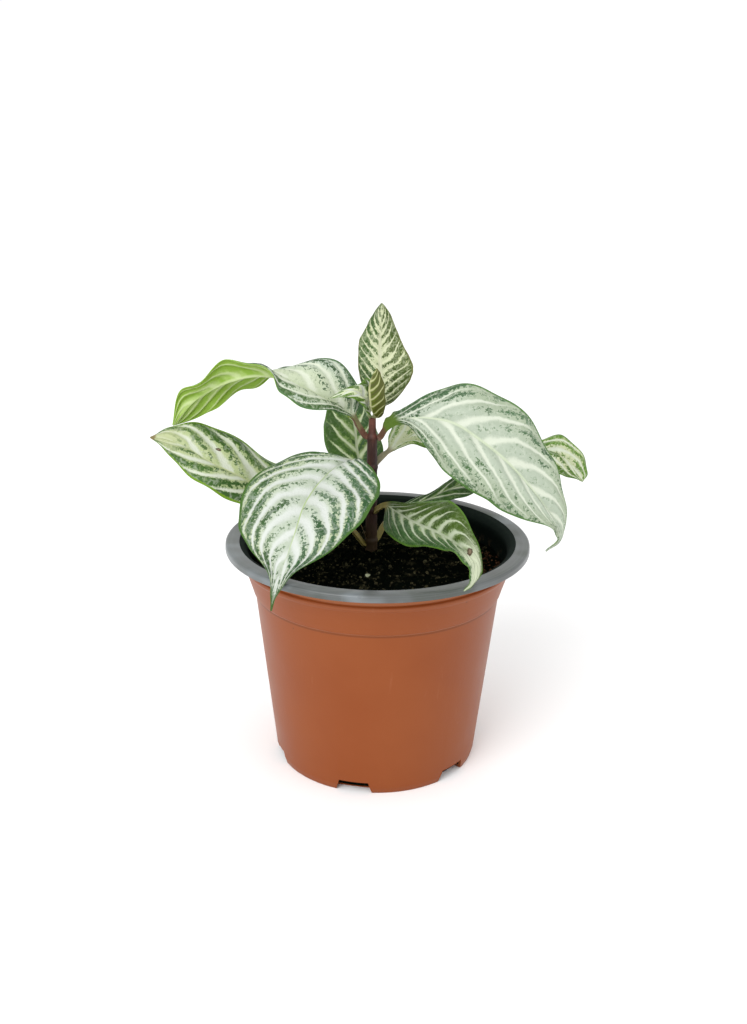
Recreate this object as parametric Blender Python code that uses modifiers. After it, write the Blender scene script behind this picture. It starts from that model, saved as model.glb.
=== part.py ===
"""A potted zebra plant: a two-tone nursery pot filled with soil, and a young plant of one upright
stem with pairs of large pale-veined leaves.

Every length is in millimetres until it becomes a mesh. The origin is the middle of the pot's
underside, +Z is up, and the plant's show side faces -Y.
"""

import math

import bmesh
import bpy
import numpy as np

MM = 0.001

# The pot, a common 12 cm one, turned about +Z.
POT_HEIGHT = 91.2
RIM_RADIUS = 60.0
RIM_OPENING_RADIUS = 54.5
RIM_LIP_DROP = 2.8
COLLAR_RADIUS = 52.5
BEAD_Z = 83.0
BEAD_OUT = 0.8
SHOULDER_RADIUS = 51.6
BODY_TOP_RADIUS = 48.7
BODY_TOP_Z = 71.0
FOOT_RADIUS = 40.4
FOOT_RING = 6.0
WALL = 1.2
FLOOR = 1.6
POT_STEPS = 48

# Drain notches round the foot.
NOTCH_COUNT = 6
NOTCH_HEIGHT = 4.8
NOTCH_ANGLE = 21.0
FIRST_NOTCH_ANGLE = -12.0

# Soil, a low mound that stops short of the rim.
SOIL_EDGE_Z = 80.0
SOIL_MOUND = 3.2
SOIL_STEPS = 40
SOIL_EDGE_RADIUS = SHOULDER_RADIUS - WALL - 0.65
SOIL_RING_SHARES = (0.22, 0.42, 0.62, 0.82, 1.0)
GAP = 0.3

# The stem stands in a plain hole in the soil, a little behind the pot's axis.
STEM_X = -2.5
STEM_Y = 8.0
STEM_SUNK = 9.0
STEM_RADIUS = 2.35
SHOOT_RADIUS = 1.45
STEM_TOP_Z = 138.0
LEAF_NODES_Z = (87.0, 100.2, 117.8, 130.1)

# Leaf sections, from the left margin to the right one, as parts of each half's width.
ACROSS = (-1.0, -0.66, -0.33, -0.1, 0.1, 0.33, 0.66, 1.0)
MARGIN_THICKNESS = 0.7
PETIOLE_WIDTH = 2.5
BLADE_ARCH = 0.18
KEEL_SPREAD = 1.1
LEFT_WAVE_START = 0.4
RIGHT_WAVE_START = 2.1

# One entry for each leaf. A petiole is a list of points from the stem to the blade, and a blade is
# a list of stations from its base to its tip. Each station is the left margin, the midrib and the
# right margin, as seen on the upper face with the tip pointing away.
LEAVES = {
    "leaf_upper_right": {
        "petiole": [(0.6, 7.0, 130.5), (2.8, 4.6, 134.6)],
        "blade": [
            [(5.8, 3, 139.9), (7, 2, 138.6), (8.2, 1.6, 136.9)],
            [(10.4, 3, 144), (11.3, -1, 140.3), (12.7, -2.4, 136)],
            [(20.3, 4, 149), (19.5, -4, 141), (19.5, -9, 128.5)],
            [(31.5, 3, 153), (28.5, -8, 140), (26, -16, 122)],
            [(45, 1, 149.5), (38, -11, 134.5), (36.5, -20, 116)],
            [(56.5, -2, 142), (47.5, -14, 127.5), (45, -22, 111)],
            [(65, -7, 129), (56, -16, 119), (54.5, -22, 106.5)],
            [(69.7, -12, 118), (63.5, -18, 110), (62.4, -21, 104.5)],
            [(71.4, -15, 107.5), (68.6, -18, 103), (67, -19, 100.5)],
            [(70.6, -16.5, 98), (69.3, -17.5, 97.2), (68, -18, 96.9)],
            [(64.8, -15.8, 91.7), (64.5, -16, 91.9), (64.2, -16.1, 92.1)],
        ],
        "keel": 1.5,
        "waves": 6.5,
        "wave_height": 0.9,
    },
    "leaf_upper_left": {
        "petiole": [(-5.3, 7.0, 131.2), (-8.5, 5.0, 136.4)],
        "blade": [
            [(-12, 2, 140.2), (-11.9, 3, 141), (-11, 4.2, 142)],
            [(-16.7, -3, 143), (-16, 1.5, 144.5), (-8.8, 8, 149)],
            [(-23, -11, 145.5), (-22, 0, 148), (-13.3, 11, 158)],
            [(-31, -13, 148), (-29, -1, 152), (-22.5, 10, 160.5)],
            [(-36.5, -11, 152), (-35.5, 0, 155), (-34, 10, 158)],
            [(-40, -9, 158.5), (-41.5, 1, 156.3), (-41, 11, 153.5)],
            [(-48, -7, 162), (-49.3, 3, 155.5), (-48.5, 14, 148.5)],
            [(-58, -3, 162.3), (-58, 6, 152.5), (-56.3, 15, 145.3)],
            [(-68, 2, 153), (-67, 9, 147.5), (-64.5, 15, 139.5)],
            [(-77, 6, 148), (-74, 10, 142), (-70.5, 14, 136)],
            [(-80.9, 8.7, 134), (-80.7, 9, 133.8), (-80.5, 9.3, 133.6)],
        ],
        "keel": 1.5,
        "waves": 5.5,
        "wave_height": 0.8,
    },
    "leaf_front_left": {
        "petiole": [(-4.4, 5.7, 118.2), (-6.4, 2.9, 120.4)],
        "blade": [
            [(-7.3, -0.8, 122.4), (-8.7, 0, 122.5), (-10.1, 1, 122.8)],
            [(-5, -9, 125.5), (-15.5, -11, 124), (-21.5, -4, 127)],
            [(0.5, -20, 120.5), (-22.5, -22, 120), (-35.5, -8, 126)],
            [(-0.5, -30, 116.5), (-27, -32, 115), (-49.5, -17, 117.5)],
            [(-7, -39, 110), (-29, -39, 110), (-51.5, -29, 107.5)],
            [(-15.5, -46, 103.5), (-31.5, -45, 103), (-47.5, -38, 101.5)],
            [(-29, -50.5, 96), (-34.5, -50, 95.5), (-39.5, -48, 95.5)],
            [(-35.6, -52.5, 88), (-36.9, -52.5, 87.8), (-38, -52.3, 87.8)],
            [(-37.5, -53, 82.3), (-37.8, -53, 82.2), (-38.1, -53, 82.3)],
        ],
        "keel": 1.5,
        "waves": 5.5,
        "wave_height": 0.7,
    },
    "leaf_back_right": {
        "petiole": [(-1.4, 10.8, 118.2), (1.6, 13.0, 121.0)],
        "blade": [
            [(3.8, 15.5, 123.8), (4.6, 15, 123), (5.6, 14.6, 122.4)],
            [(4.5, 24, 128), (9.5, 18, 126), (12, 15, 125)],
            [(12, 34, 134.5), (19, 24, 129.5), (20.5, 17, 123.5)],
            [(30, 43, 137), (33.5, 31, 130), (35.5, 22, 120.5)],
            [(49, 47, 130), (48.5, 37, 125.5), (49.5, 27, 116.5)],
            [(66, 50, 118.5), (64, 42, 117.5), (63.5, 33, 112.5)],
            [(79, 51.5, 120), (74.5, 45, 114.5), (73.5, 39, 107.5)],
            [(87.5, 51, 113), (81.5, 47, 110), (79.5, 43, 104)],
            [(91.2, 50, 104.5), (85.5, 48, 104.5), (85, 46, 102)],
            [(89.2, 48, 100.4), (89, 48, 100.2), (88.8, 48, 100)],
        ],
        "keel": 1.5,
        "waves": 6.5,
        "wave_height": 0.8,
    },
    "leaf_front_right": {
        "petiole": [(-1.1, 5.0, 101.0), (0.7, 2.9, 103.0)],
        "blade": [
            [(3.4, 1.2, 105.6), (3.4, 0.6, 104.3), (2.8, -0.4, 103.2)],
            [(9.5, -3, 107), (8.5, -8, 104), (2.2, -12, 99.3)],
            [(16, -11, 109.5), (14.5, -19, 104), (8.5, -24, 97.5)],
            [(23.5, -21, 114), (21.5, -32, 105), (17, -37, 101)],
            [(29.5, -33, 115), (27.5, -43, 105), (23, -47, 104)],
            [(34.5, -46, 108), (31, -51, 104.5), (27, -53, 104.5)],
            [(36.7, -54, 102), (33.7, -56, 102.3), (30.5, -57, 102)],
            [(35.6, -58, 98.5), (33.6, -59, 98.8), (31.7, -59, 99.2)],
            [(33.3, -59.5, 95.7), (32.4, -60, 96.1), (31.5, -60, 96.6)],
            [(30.1, -60, 93.4), (29.9, -60, 93.6), (29.7, -60, 93.8)],
        ],
        "keel": 1.4,
        "waves": 5.5,
        "wave_height": 0.7,
    },
    "leaf_back_left": {
        "petiole": [(-3.4, 11.0, 100.6), (-4.0, 13.6, 104.2)],
        "blade": [
            [(-5.2, 16.6, 107), (-4.4, 16.2, 107), (-3.6, 16, 107.2)],
            [(-13.5, 21, 112.5), (-6.5, 20, 113), (-1, 18, 114.5)],
            [(-21, 29, 118), (-8.5, 28, 118), (2, 25, 120)],
            [(-23, 38, 125), (-9.5, 37, 124.5), (0, 34, 124.5)],
            [(-22, 47, 131), (-11, 46, 130), (-3, 43, 130)],
            [(-18, 55, 135.5), (-12.5, 54, 135.5), (-7.5, 52, 135.5)],
            [(-13.5, 60, 140.5), (-13.3, 60, 140.5), (-13.1, 60, 140.5)],
        ],
        "keel": 1.4,
        "waves": 4.5,
        "wave_height": 0.7,
    },
    "leaf_lower_left": {
        "petiole": [(-5.6, 6.6, 86.6), (-10.4, 4.6, 93.4)],
        "blade": [
            [(-16.2, 2.2, 97.4), (-17, 3, 98.4), (-17.4, 4, 99.6)],
            [(-24.5, -4, 99.5), (-23.5, 2, 102.5), (-21, 8, 108)],
            [(-36.5, -8, 102), (-34.5, 1, 107), (-31.5, 12, 114)],
            [(-48, -12, 106.5), (-45.5, -1, 112), (-41, 12, 117.5)],
            [(-58.5, -13, 111.5), (-55, -3, 117.5), (-52.5, 10, 126.5)],
            [(-68.5, -12, 117), (-65, -4, 123), (-64, 8, 133.5)],
            [(-77, -9, 123.5), (-74, -3, 128.5), (-74, 5, 136)],
            [(-83, -4, 128.5), (-81.5, -2, 131), (-81.5, 2, 134.5)],
            [(-88.1, -1, 131.4), (-87.9, -1, 131.6), (-87.7, -1, 131.8)],
        ],
        "keel": 1.4,
        "waves": 5.5,
        "wave_height": 0.7,
    },
    "leaf_low_right": {
        "petiole": [(0.3, 10.3, 87.8), (2.8, 13.4, 91.6)],
        "blade": [
            [(6.8, 18.2, 96.2), (7.2, 18, 95.2), (7.8, 17.8, 94.2)],
            [(13.4, 26, 98.4), (13.4, 24, 96.4), (15.4, 22, 94.6)],
            [(21.2, 34, 98.6), (21, 30, 97.6), (24.4, 26, 95.6)],
            [(29.7, 43, 100.8), (30.5, 37, 99.8), (35.5, 31, 98.2)],
            [(39.5, 52, 104.5), (40.5, 44, 101.7), (45, 37, 99.4)],
            [(50, 57, 105), (50.5, 50, 101.7), (53.5, 44, 98.6)],
            [(60.2, 54.2, 99.8), (60.2, 54, 99.7), (60.2, 53.8, 99.6)],
        ],
        "keel": 1.3,
        "waves": 4.5,
        "wave_height": 0.5,
    },
    "leaf_top": {
        "petiole": [(-2.0, 9.3, 138.2)],
        "stalk": 1.3,
        "blade": [
            [(-1.8, 10.2, 141), (-0.6, 10.3, 141), (0.7, 10.2, 141)],
            [(-4.3, 12.6, 145.5), (0.8, 12.6, 145), (6.6, 11.6, 144.3)],
            [(-7.5, 15, 151.5), (0.7, 14.4, 151.5), (12.3, 11.6, 152.6)],
            [(-8.4, 18, 158.5), (0.2, 17, 158), (13, 13, 158)],
            [(-8, 21, 165.5), (0.2, 20, 165), (8.7, 17, 166)],
            [(-5, 23, 171.5), (0.5, 22, 171.3), (6, 20, 172)],
            [(-2.3, 24, 176.4), (0.8, 23, 176.2), (3.6, 22, 177)],
            [(0.5, 23, 180.2), (0.8, 23, 180.1), (1.1, 23, 180)],
        ],
        "keel": 1.1,
        "waves": 5.5,
        "wave_height": 0.4,
    },
    "leaf_young_left": {
        "petiole": [(-3.2, 7.4, 138.2)],
        "stalk": 1.3,
        "blade": [
            [(-3.2, 4.8, 139), (-3.3, 5.6, 139.8), (-3.1, 6.6, 140.6)],
            [(-4.6, 2, 141.4), (-4.6, 3.2, 143.7), (-1.6, 6.4, 149.5)],
            [(-6.2, 0, 144.5), (-6.4, 1, 148), (-4.4, 4, 154.5)],
            [(-8.8, -2, 147.2), (-9.6, -1, 150.5), (-7.7, 1, 152.8)],
            [(-12.5, -3.4, 148.6), (-12.7, -2.6, 150.4), (-12.2, -1, 151.8)],
            [(-18.5, -5, 148.4), (-18.6, -5, 148.6), (-18.5, -5, 148.8)],
        ],
        "keel": 0.9,
        "waves": 3.5,
        "wave_height": 0.2,
    },
    "leaf_young_folded": {
        "petiole": [(-1.3, 7.3, 138.2)],
        "stalk": 1.3,
        "blade": [
            [(0.8, 4.4, 139.2), (-0.2, 5.0, 139.4), (0.8, 6.0, 139.4)],
            [(2.2, -0.6, 142.8), (-1.8, 1.2, 143.4), (2, 4, 142.4)],
            [(2.4, -3, 148), (-2.6, -1, 148.2), (2, 3, 147.4)],
            [(2, -3, 153), (-3, -2, 152.3), (1.6, 2, 152.2)],
            [(0.6, -2.6, 157.2), (-2.2, -2, 156.1), (0.4, 0.6, 156.9)],
            [(-0.7, -2.3, 159.3), (-1, -2, 159.4), (-0.7, -1.7, 159.3)],
        ],
        "keel": 0.9,
        "waves": 3.5,
        "wave_height": 0.2,
    },
}
RINGS_PER_STATION = 3


def clear_scene():
    for obj in list(bpy.data.objects):
        bpy.data.objects.remove(obj)


def new_collection(name, hidden=False):
    collection = bpy.data.collections.new(name)
    bpy.context.scene.collection.children.link(collection)
    collection.hide_render = hidden
    return collection


def make_material(name, colour, roughness, subsurface=0.0):
    material = bpy.data.materials.new(name)
    material.use_nodes = True
    shader = material.node_tree.nodes["Principled BSDF"]
    shader.inputs["Base Color"].default_value = (*colour, 1.0)
    shader.inputs["Roughness"].default_value = roughness
    shader.inputs["Metallic"].default_value = 0.0
    shader.inputs["Subsurface Weight"].default_value = subsurface
    material.diffuse_color = (*colour, 1.0)
    return material


def add_object(name, mesh, collection, material=None):
    obj = bpy.data.objects.new(name, mesh)
    collection.objects.link(obj)
    if material:
        mesh.materials.append(material)
    return obj


def mesh_from(name, points, faces):
    """A mesh of points in millimetres."""
    mesh = bpy.data.meshes.new(name)
    mesh.from_pydata([[value * MM for value in point] for point in points], [], faces)
    mesh.update()
    return mesh


def turned(name, profile, steps, collection, material):
    """A profile of (radius, z) pairs, down the outer side first, turned about +Z."""
    points = [(radius, 0.0, z) for radius, z in profile]
    edges = [(i, i + 1) for i in range(len(points) - 1)]
    mesh = bpy.data.meshes.new(name)
    mesh.from_pydata([[value * MM for value in point] for point in points], edges, [])
    obj = add_object(name, mesh, collection, material)
    screw = obj.modifiers.new("turn", "SCREW")
    screw.axis = "Z"
    screw.steps = steps
    screw.render_steps = steps
    screw.use_merge_vertices = True
    screw.merge_threshold = 0.00001
    screw.use_normal_calculate = False
    return obj


def pot_outer_profile():
    lip_z = POT_HEIGHT - RIM_LIP_DROP
    flange_z = POT_HEIGHT - WALL
    return [
        (RIM_OPENING_RADIUS, POT_HEIGHT),
        (RIM_RADIUS - 0.7, POT_HEIGHT),
        (RIM_RADIUS - 0.1, POT_HEIGHT - 0.5),
        (RIM_RADIUS, lip_z + 0.2),
        (RIM_RADIUS - 0.6, lip_z),
        (RIM_RADIUS - WALL, lip_z + 0.3),
        (RIM_RADIUS - WALL - 0.3, flange_z),
        (COLLAR_RADIUS + 1.4, flange_z),
        (COLLAR_RADIUS + 0.2, flange_z - 1.3),
        (COLLAR_RADIUS, BEAD_Z + 1.2),
        (COLLAR_RADIUS + BEAD_OUT, BEAD_Z + 0.6),
        (COLLAR_RADIUS + BEAD_OUT, BEAD_Z - 0.5),
        (COLLAR_RADIUS + 0.2, BEAD_Z - 1.4),
        (SHOULDER_RADIUS, BODY_TOP_Z + 7.5),
        (BODY_TOP_RADIUS + 1.6, BODY_TOP_Z + 3.5),
        (BODY_TOP_RADIUS + 0.7, BODY_TOP_Z + 0.4),
        (BODY_TOP_RADIUS, BODY_TOP_Z - 0.2),
        (FOOT_RADIUS + 0.7, 2.6),
        (FOOT_RADIUS, 0.0),
        (FOOT_RADIUS - FOOT_RING, 0.0),
        (0.0, 0.0),
    ]


def pot_inner_profile():
    """The cavity, from the floor's middle up to the opening."""
    return [
        (0.0, FLOOR),
        (FOOT_RADIUS - FOOT_RING, FLOOR),
        (FOOT_RADIUS + 0.5 - WALL, FLOOR),
        (BODY_TOP_RADIUS - WALL, BODY_TOP_Z),
        (SHOULDER_RADIUS - WALL, BODY_TOP_Z + 7.8),
        (COLLAR_RADIUS - WALL, BEAD_Z),
        (COLLAR_RADIUS - WALL, POT_HEIGHT - RIM_LIP_DROP - 0.1),
        (RIM_OPENING_RADIUS - 1.9, POT_HEIGHT - 0.9),
        (RIM_OPENING_RADIUS, POT_HEIGHT),
    ]


def notch_cutter(index, collection):
    """A block with slanted sides across the foot's wall, where water drains."""
    middle = math.radians(FIRST_NOTCH_ANGLE + index * 360.0 / NOTCH_COUNT - 90.0)
    half_foot = FOOT_RADIUS * math.radians(NOTCH_ANGLE) / 2.0
    half_top = half_foot - 1.6
    inner = FOOT_RADIUS - 4.0
    outer = FOOT_RADIUS + 4.0
    low = [(-half_foot, -1.0), (half_foot, -1.0)]
    section = [*low, (half_top, NOTCH_HEIGHT), (-half_top, NOTCH_HEIGHT)]
    corners = [(radius, side, z) for radius in (inner, outer) for side, z in section]
    turn = (math.cos(middle), math.sin(middle))
    points = [(x * turn[0] - y * turn[1], x * turn[1] + y * turn[0], z) for x, y, z in corners]
    faces = [(0, 3, 2, 1), (4, 5, 6, 7), (0, 1, 5, 4), (1, 2, 6, 5), (2, 3, 7, 6), (3, 0, 4, 7)]
    cutter = add_object(f"notch_{index + 1}", mesh_from("notch", points, faces), collection)
    cutter.hide_render = True
    cutter.display_type = "WIRE"
    return cutter


def make_pot(parts, cutters):
    material = make_material("pot_terracotta", (0.27, 0.075, 0.035), 0.45)
    profile = pot_outer_profile() + pot_inner_profile()
    pot = turned("pot", profile, POT_STEPS, parts, material)
    for index in range(NOTCH_COUNT):
        cut = pot.modifiers.new(f"notch {index + 1}", "BOOLEAN")
        cut.operation = "DIFFERENCE"
        cut.object = notch_cutter(index, cutters)
    return pot


def ring_of(radius, height, steps):
    """A level ring of points, or one that follows height(radius, angle)."""
    points = []
    for step in range(steps):
        angle = 2.0 * math.pi * step / steps
        z = height(radius, angle) if callable(height) else height
        points.append((radius * math.cos(angle), radius * math.sin(angle), z))
    return points


def soil_top_z(radius, angle):
    """The soil's height: a mound in the middle, with broad uneven humps."""
    along = radius / SOIL_EDGE_RADIUS
    mound = SOIL_MOUND * (0.5 + 0.5 * math.cos(math.pi * min(along, 1.0)))
    humps = 0.5 * math.sin(3.0 * angle + 0.7) * along * (1.0 - along) * 3.0
    ripples = 0.35 * math.sin(7.0 * angle + 4.0 * along) * min(along, 1.0 - along) * 2.0
    return SOIL_EDGE_Z + mound + humps + ripples


def make_soil(parts, cutters):
    """One filling, GAP clear of the pot all round, with a plain hole for the stem."""
    material = make_material("soil_dark", (0.012, 0.009, 0.006), 0.95)
    bottom = FOOT_RADIUS - WALL - GAP - 0.1
    shoulder = BODY_TOP_RADIUS - WALL - GAP - 0.15
    points = []
    for share in SOIL_RING_SHARES:
        points += ring_of(SOIL_EDGE_RADIUS * share, soil_top_z, SOIL_STEPS)
    points += ring_of(SOIL_EDGE_RADIUS - 0.15, SOIL_EDGE_Z - 2.5, SOIL_STEPS)
    points += ring_of(shoulder, BODY_TOP_Z - 1.0, SOIL_STEPS)
    points += ring_of(bottom, FLOOR + GAP, SOIL_STEPS)
    ring_count = len(points) // SOIL_STEPS
    faces = []
    for ring in range(ring_count - 1):
        for step in range(SOIL_STEPS):
            after = (step + 1) % SOIL_STEPS
            low = ring * SOIL_STEPS
            high = low + SOIL_STEPS
            faces.append((low + step, high + step, high + after, low + after))
    top = len(points)
    points.append((0.0, 0.0, soil_top_z(0.0, 0.0)))
    base = len(points)
    points.append((0.0, 0.0, FLOOR + GAP))
    last = (ring_count - 1) * SOIL_STEPS
    for step in range(SOIL_STEPS):
        after = (step + 1) % SOIL_STEPS
        faces.append((top, step, after))
        faces.append((base, last + after, last + step))
    soil = add_object("soil", mesh_from("soil", points, faces), parts, material)

    mesh = bpy.data.meshes.new("stem_hole")
    tool = bmesh.new()
    bmesh.ops.create_cone(
        tool,
        cap_ends=True,
        segments=20,
        radius1=(STEM_RADIUS + GAP + 0.1) * MM,
        radius2=(STEM_RADIUS + GAP + 0.1) * MM,
        depth=2.0 * (STEM_SUNK + GAP) * MM,
    )
    tool.to_mesh(mesh)
    tool.free()
    cutter = add_object("stem_hole", mesh, cutters)
    cutter.location = (STEM_X * MM, STEM_Y * MM, (SOIL_EDGE_Z + SOIL_MOUND) * MM)
    cutter.hide_render = True
    cutter.display_type = "WIRE"
    cut = soil.modifiers.new("stem hole", "BOOLEAN")
    cut.operation = "DIFFERENCE"
    cut.object = cutter
    return soil


def stem_radius(z):
    """Thinner above the highest pair of large leaves, with a slight ring at each leaf node."""
    shoot_z = LEAF_NODES_Z[-1]
    heights = (SOIL_EDGE_Z, shoot_z - 1.0, shoot_z + 2.5, STEM_TOP_Z)
    radii = (STEM_RADIUS, STEM_RADIUS - 0.4, SHOOT_RADIUS, SHOOT_RADIUS - 0.1)
    taper = np.interp(z, heights, radii)
    rings = sum(0.25 * math.exp(-(((z - node) / 1.1) ** 2)) for node in LEAF_NODES_Z)
    return float(taper) + rings


def make_stem(parts):
    material = make_material("stem_brown", (0.075, 0.035, 0.022), 0.6)
    levels = [SOIL_EDGE_Z + SOIL_MOUND - STEM_SUNK, 84.0]
    for node in LEAF_NODES_Z:
        levels += [node - 1.6, node, node + 1.6]
    levels += [134.5, STEM_TOP_Z - 0.4]
    steps = 14
    points = []
    for z in levels:
        for step in range(steps):
            angle = 2.0 * math.pi * step / steps
            radius = stem_radius(z)
            x = STEM_X + radius * math.cos(angle)
            y = STEM_Y + radius * math.sin(angle)
            points.append((x, y, z))
    faces = [tuple(reversed(range(steps)))]
    for level in range(len(levels) - 1):
        for step in range(steps):
            after = (step + 1) % steps
            low = level * steps
            faces.append((low + step, low + after, low + steps + after, low + steps + step))
    top = (len(levels) - 1) * steps
    faces.append(tuple(range(top, top + steps)))
    return add_object("stem", mesh_from("stem", points, faces), parts, material)


def through(points, rings_per_station):
    """A smooth curve through the points, with the same number of steps between each two."""
    points = np.array(points, float)
    before = 2.0 * points[0] - points[1]
    after = 2.0 * points[-1] - points[-2]
    padded = np.vstack([before, points, after])
    result = []
    for index in range(len(points) - 1):
        a, b, c, d = padded[index : index + 4]
        for step in range(rings_per_station):
            t = step / rings_per_station
            square = (2.0 * a - 5.0 * b + 4.0 * c - d) * t**2
            cube = (3.0 * b - a - 3.0 * c + d) * t**3
            result.append(0.5 * (2.0 * b + (c - a) * t + square + cube))
    result.append(points[-1])
    return np.array(result)


def unit(vector):
    return vector / np.linalg.norm(vector)


def leaf_guides(leaf):
    """The left margin, midrib and right margin, petiole included, as three smooth curves."""
    left, rib, right = (np.array(line, float) for line in zip(*leaf["blade"]))
    petiole = np.array(leaf["petiole"], float)
    course = np.vstack([petiole, rib[0]])
    half = leaf.get("stalk", PETIOLE_WIDTH) / 2.0
    for index in range(len(petiole) - 1, -1, -1):
        tangent = unit(course[index + 1] - course[index])
        across = right[0] - left[0]
        side = unit(across - tangent * np.dot(across, tangent)) * half
        left = np.vstack([petiole[index] - side, left])
        right = np.vstack([petiole[index] + side, right])
        rib = np.vstack([petiole[index], rib])
    return [through(line, RINGS_PER_STATION) for line in (left, rib, right)]


def leaf_surface(leaf):
    """A grid of points on the leaf's upper face: one row for each ring, one column for each ACROSS."""
    left, rib, right = leaf_guides(leaf)
    petiole_rings = len(leaf["petiole"]) * RINGS_PER_STATION
    count = len(rib)
    grid = np.zeros((count, len(ACROSS), 3))
    for ring in range(count):
        tangent = unit(rib[min(ring + 1, count - 1)] - rib[max(ring - 1, 0)])
        width = np.linalg.norm(right[ring] - left[ring])
        normal = unit(np.cross(unit(right[ring] - left[ring]), tangent))
        along = max(0.0, (ring - petiole_rings) / (count - 1 - petiole_rings))
        fade = math.sin(math.pi * along) ** 0.5 if 0.0 < along < 1.0 else 0.0
        for column, across in enumerate(ACROSS):
            margin = left[ring] if across < 0.0 else right[ring]
            share = abs(across)
            point = rib[ring] + (margin - rib[ring]) * share
            arch = BLADE_ARCH * width * share * (1.0 - share)
            start = LEFT_WAVE_START if across < 0.0 else RIGHT_WAVE_START
            turn = 2.0 * math.pi * leaf["waves"] * along + start
            wave = leaf["wave_height"] * fade * share**2 * math.sin(turn)
            grid[ring, column] = point + normal * (arch * fade + wave)
    return grid


def grid_normals(grid):
    """The upper face's direction at each point, evened out along the leaf so it turns slowly."""
    normals = np.cross(np.gradient(grid, axis=1), np.gradient(grid, axis=0))
    for _ in range(4):
        normals /= np.linalg.norm(normals, axis=2, keepdims=True)
        padded = np.concatenate([normals[:1], normals, normals[-1:]])
        normals = padded[:-2] + 2.0 * padded[1:-1] + padded[2:]
    return normals / np.linalg.norm(normals, axis=2, keepdims=True)


def make_leaf(name, leaf, parts, material):
    """A closed loft: the upper face, a lower face under it with the midrib's keel, and two ends."""
    upper = leaf_surface(leaf)
    rings, columns = upper.shape[:2]
    normals = grid_normals(upper)
    petiole_rings = len(leaf["petiole"]) * RINGS_PER_STATION
    lower = np.zeros_like(upper)
    for ring in range(rings):
        width = np.linalg.norm(upper[ring, -1] - upper[ring, 0])
        along = max(0.0, (ring - petiole_rings) / (rings - 1 - petiole_rings))
        stalk = 1.0 if ring < petiole_rings else 0.0
        keel = leaf["keel"] * (1.0 - 0.75 * along) * min(1.0, width / PETIOLE_WIDTH)
        for column, across in enumerate(ACROSS):
            away = abs(across) * width / 2.0
            rise = math.exp(-((away / (KEEL_SPREAD + 0.2 * stalk)) ** 2))
            thickness = MARGIN_THICKNESS + max(0.0, keel - MARGIN_THICKNESS * 0.5) * rise
            lower[ring, column] = upper[ring, column] - normals[ring, column] * thickness

    points = [*upper.reshape(-1, 3), *lower.reshape(-1, 3)]
    under = rings * columns
    faces = []
    for ring in range(rings - 1):
        for column in range(columns - 1):
            a = ring * columns + column
            b = a + 1
            c = b + columns
            d = a + columns
            faces += [(a, b, c), (a, c, d)]
            faces += [(under + a, under + c, under + b), (under + a, under + d, under + c)]
    for ring in range(rings - 1):
        a = ring * columns
        d = a + columns
        faces += [(a, d, under + d), (a, under + d, under + a)]
        b = a + columns - 1
        c = b + columns
        faces += [(b, under + b, under + c), (b, under + c, c)]
    for column in range(columns - 1):
        a = column
        b = a + 1
        faces += [(a, under + a, under + b), (a, under + b, b)]
        d = (rings - 1) * columns + column
        c = d + 1
        faces += [(d, c, under + c), (d, under + c, under + d)]
    mesh = mesh_from(name, points, faces)
    mesh.shade_smooth()
    return add_object(name, mesh, parts, material)


def main():
    clear_scene()
    parts = new_collection("potted_zebra_plant")
    cutters = new_collection("cutters", hidden=True)
    make_pot(parts, cutters)
    make_soil(parts, cutters)
    make_stem(parts)
    leaf_material = make_material("leaf_green", (0.16, 0.27, 0.13), 0.5, 0.05)
    for name, leaf in LEAVES.items():
        make_leaf(name, leaf, parts, leaf_material)


main()
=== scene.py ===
import math

import bpy
import numpy as np
from mathutils import Matrix, Vector, noise


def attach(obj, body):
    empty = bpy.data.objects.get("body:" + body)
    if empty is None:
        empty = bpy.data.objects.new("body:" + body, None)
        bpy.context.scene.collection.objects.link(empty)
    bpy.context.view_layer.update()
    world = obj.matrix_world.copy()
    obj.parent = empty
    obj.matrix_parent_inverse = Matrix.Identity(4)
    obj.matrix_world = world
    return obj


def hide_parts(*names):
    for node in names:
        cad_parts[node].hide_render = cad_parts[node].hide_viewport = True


# Lengths in the dictionaries are millimetres, as in the part's source, and colours are linear.
# The origin is the middle of the pot's underside, +Z is up and the plant's show side faces -Y.
mm = 0.001

print("loading the frame")
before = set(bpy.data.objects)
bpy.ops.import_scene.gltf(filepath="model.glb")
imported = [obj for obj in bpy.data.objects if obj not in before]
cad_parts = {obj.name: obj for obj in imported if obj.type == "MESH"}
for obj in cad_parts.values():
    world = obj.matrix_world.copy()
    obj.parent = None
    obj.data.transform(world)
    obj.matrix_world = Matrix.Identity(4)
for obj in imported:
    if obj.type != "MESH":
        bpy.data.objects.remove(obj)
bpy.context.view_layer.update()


# helpers for meshes
def objectFor(name, data):
    made = bpy.data.objects.new(name, data)
    bpy.context.scene.collection.objects.link(made)
    return made


def pieceFrom(name, points, faces, materials, smooth=True):
    mesh = bpy.data.meshes.new(name)
    mesh.from_pydata([[float(value) * mm for value in point] for point in points], [], faces)
    for material in materials:
        mesh.materials.append(material)
    if smooth:
        mesh.shade_smooth()
    mesh.update()
    return objectFor(name, mesh)


def evaluatedCopy(source, name):
    # the object as its modifiers leave it, as a plain mesh of its own
    graph = bpy.context.evaluated_depsgraph_get()
    graph.update()
    mesh = bpy.data.meshes.new_from_object(source.evaluated_get(graph), depsgraph=graph)
    mesh.name = name
    return objectFor(name, mesh)


def ringPoints(radius, z, steps):
    angles = [2.0 * math.pi * step / steps for step in range(steps)]
    return [(radius * math.cos(angle), radius * math.sin(angle), z) for angle in angles]


def bandFaces(low, high, steps):
    # quads between two rings of points, given the index of each ring's first point
    pairs = [(step, (step + 1) % steps) for step in range(steps)]
    return [(low + step, high + step, high + after, low + after) for step, after in pairs]


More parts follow.
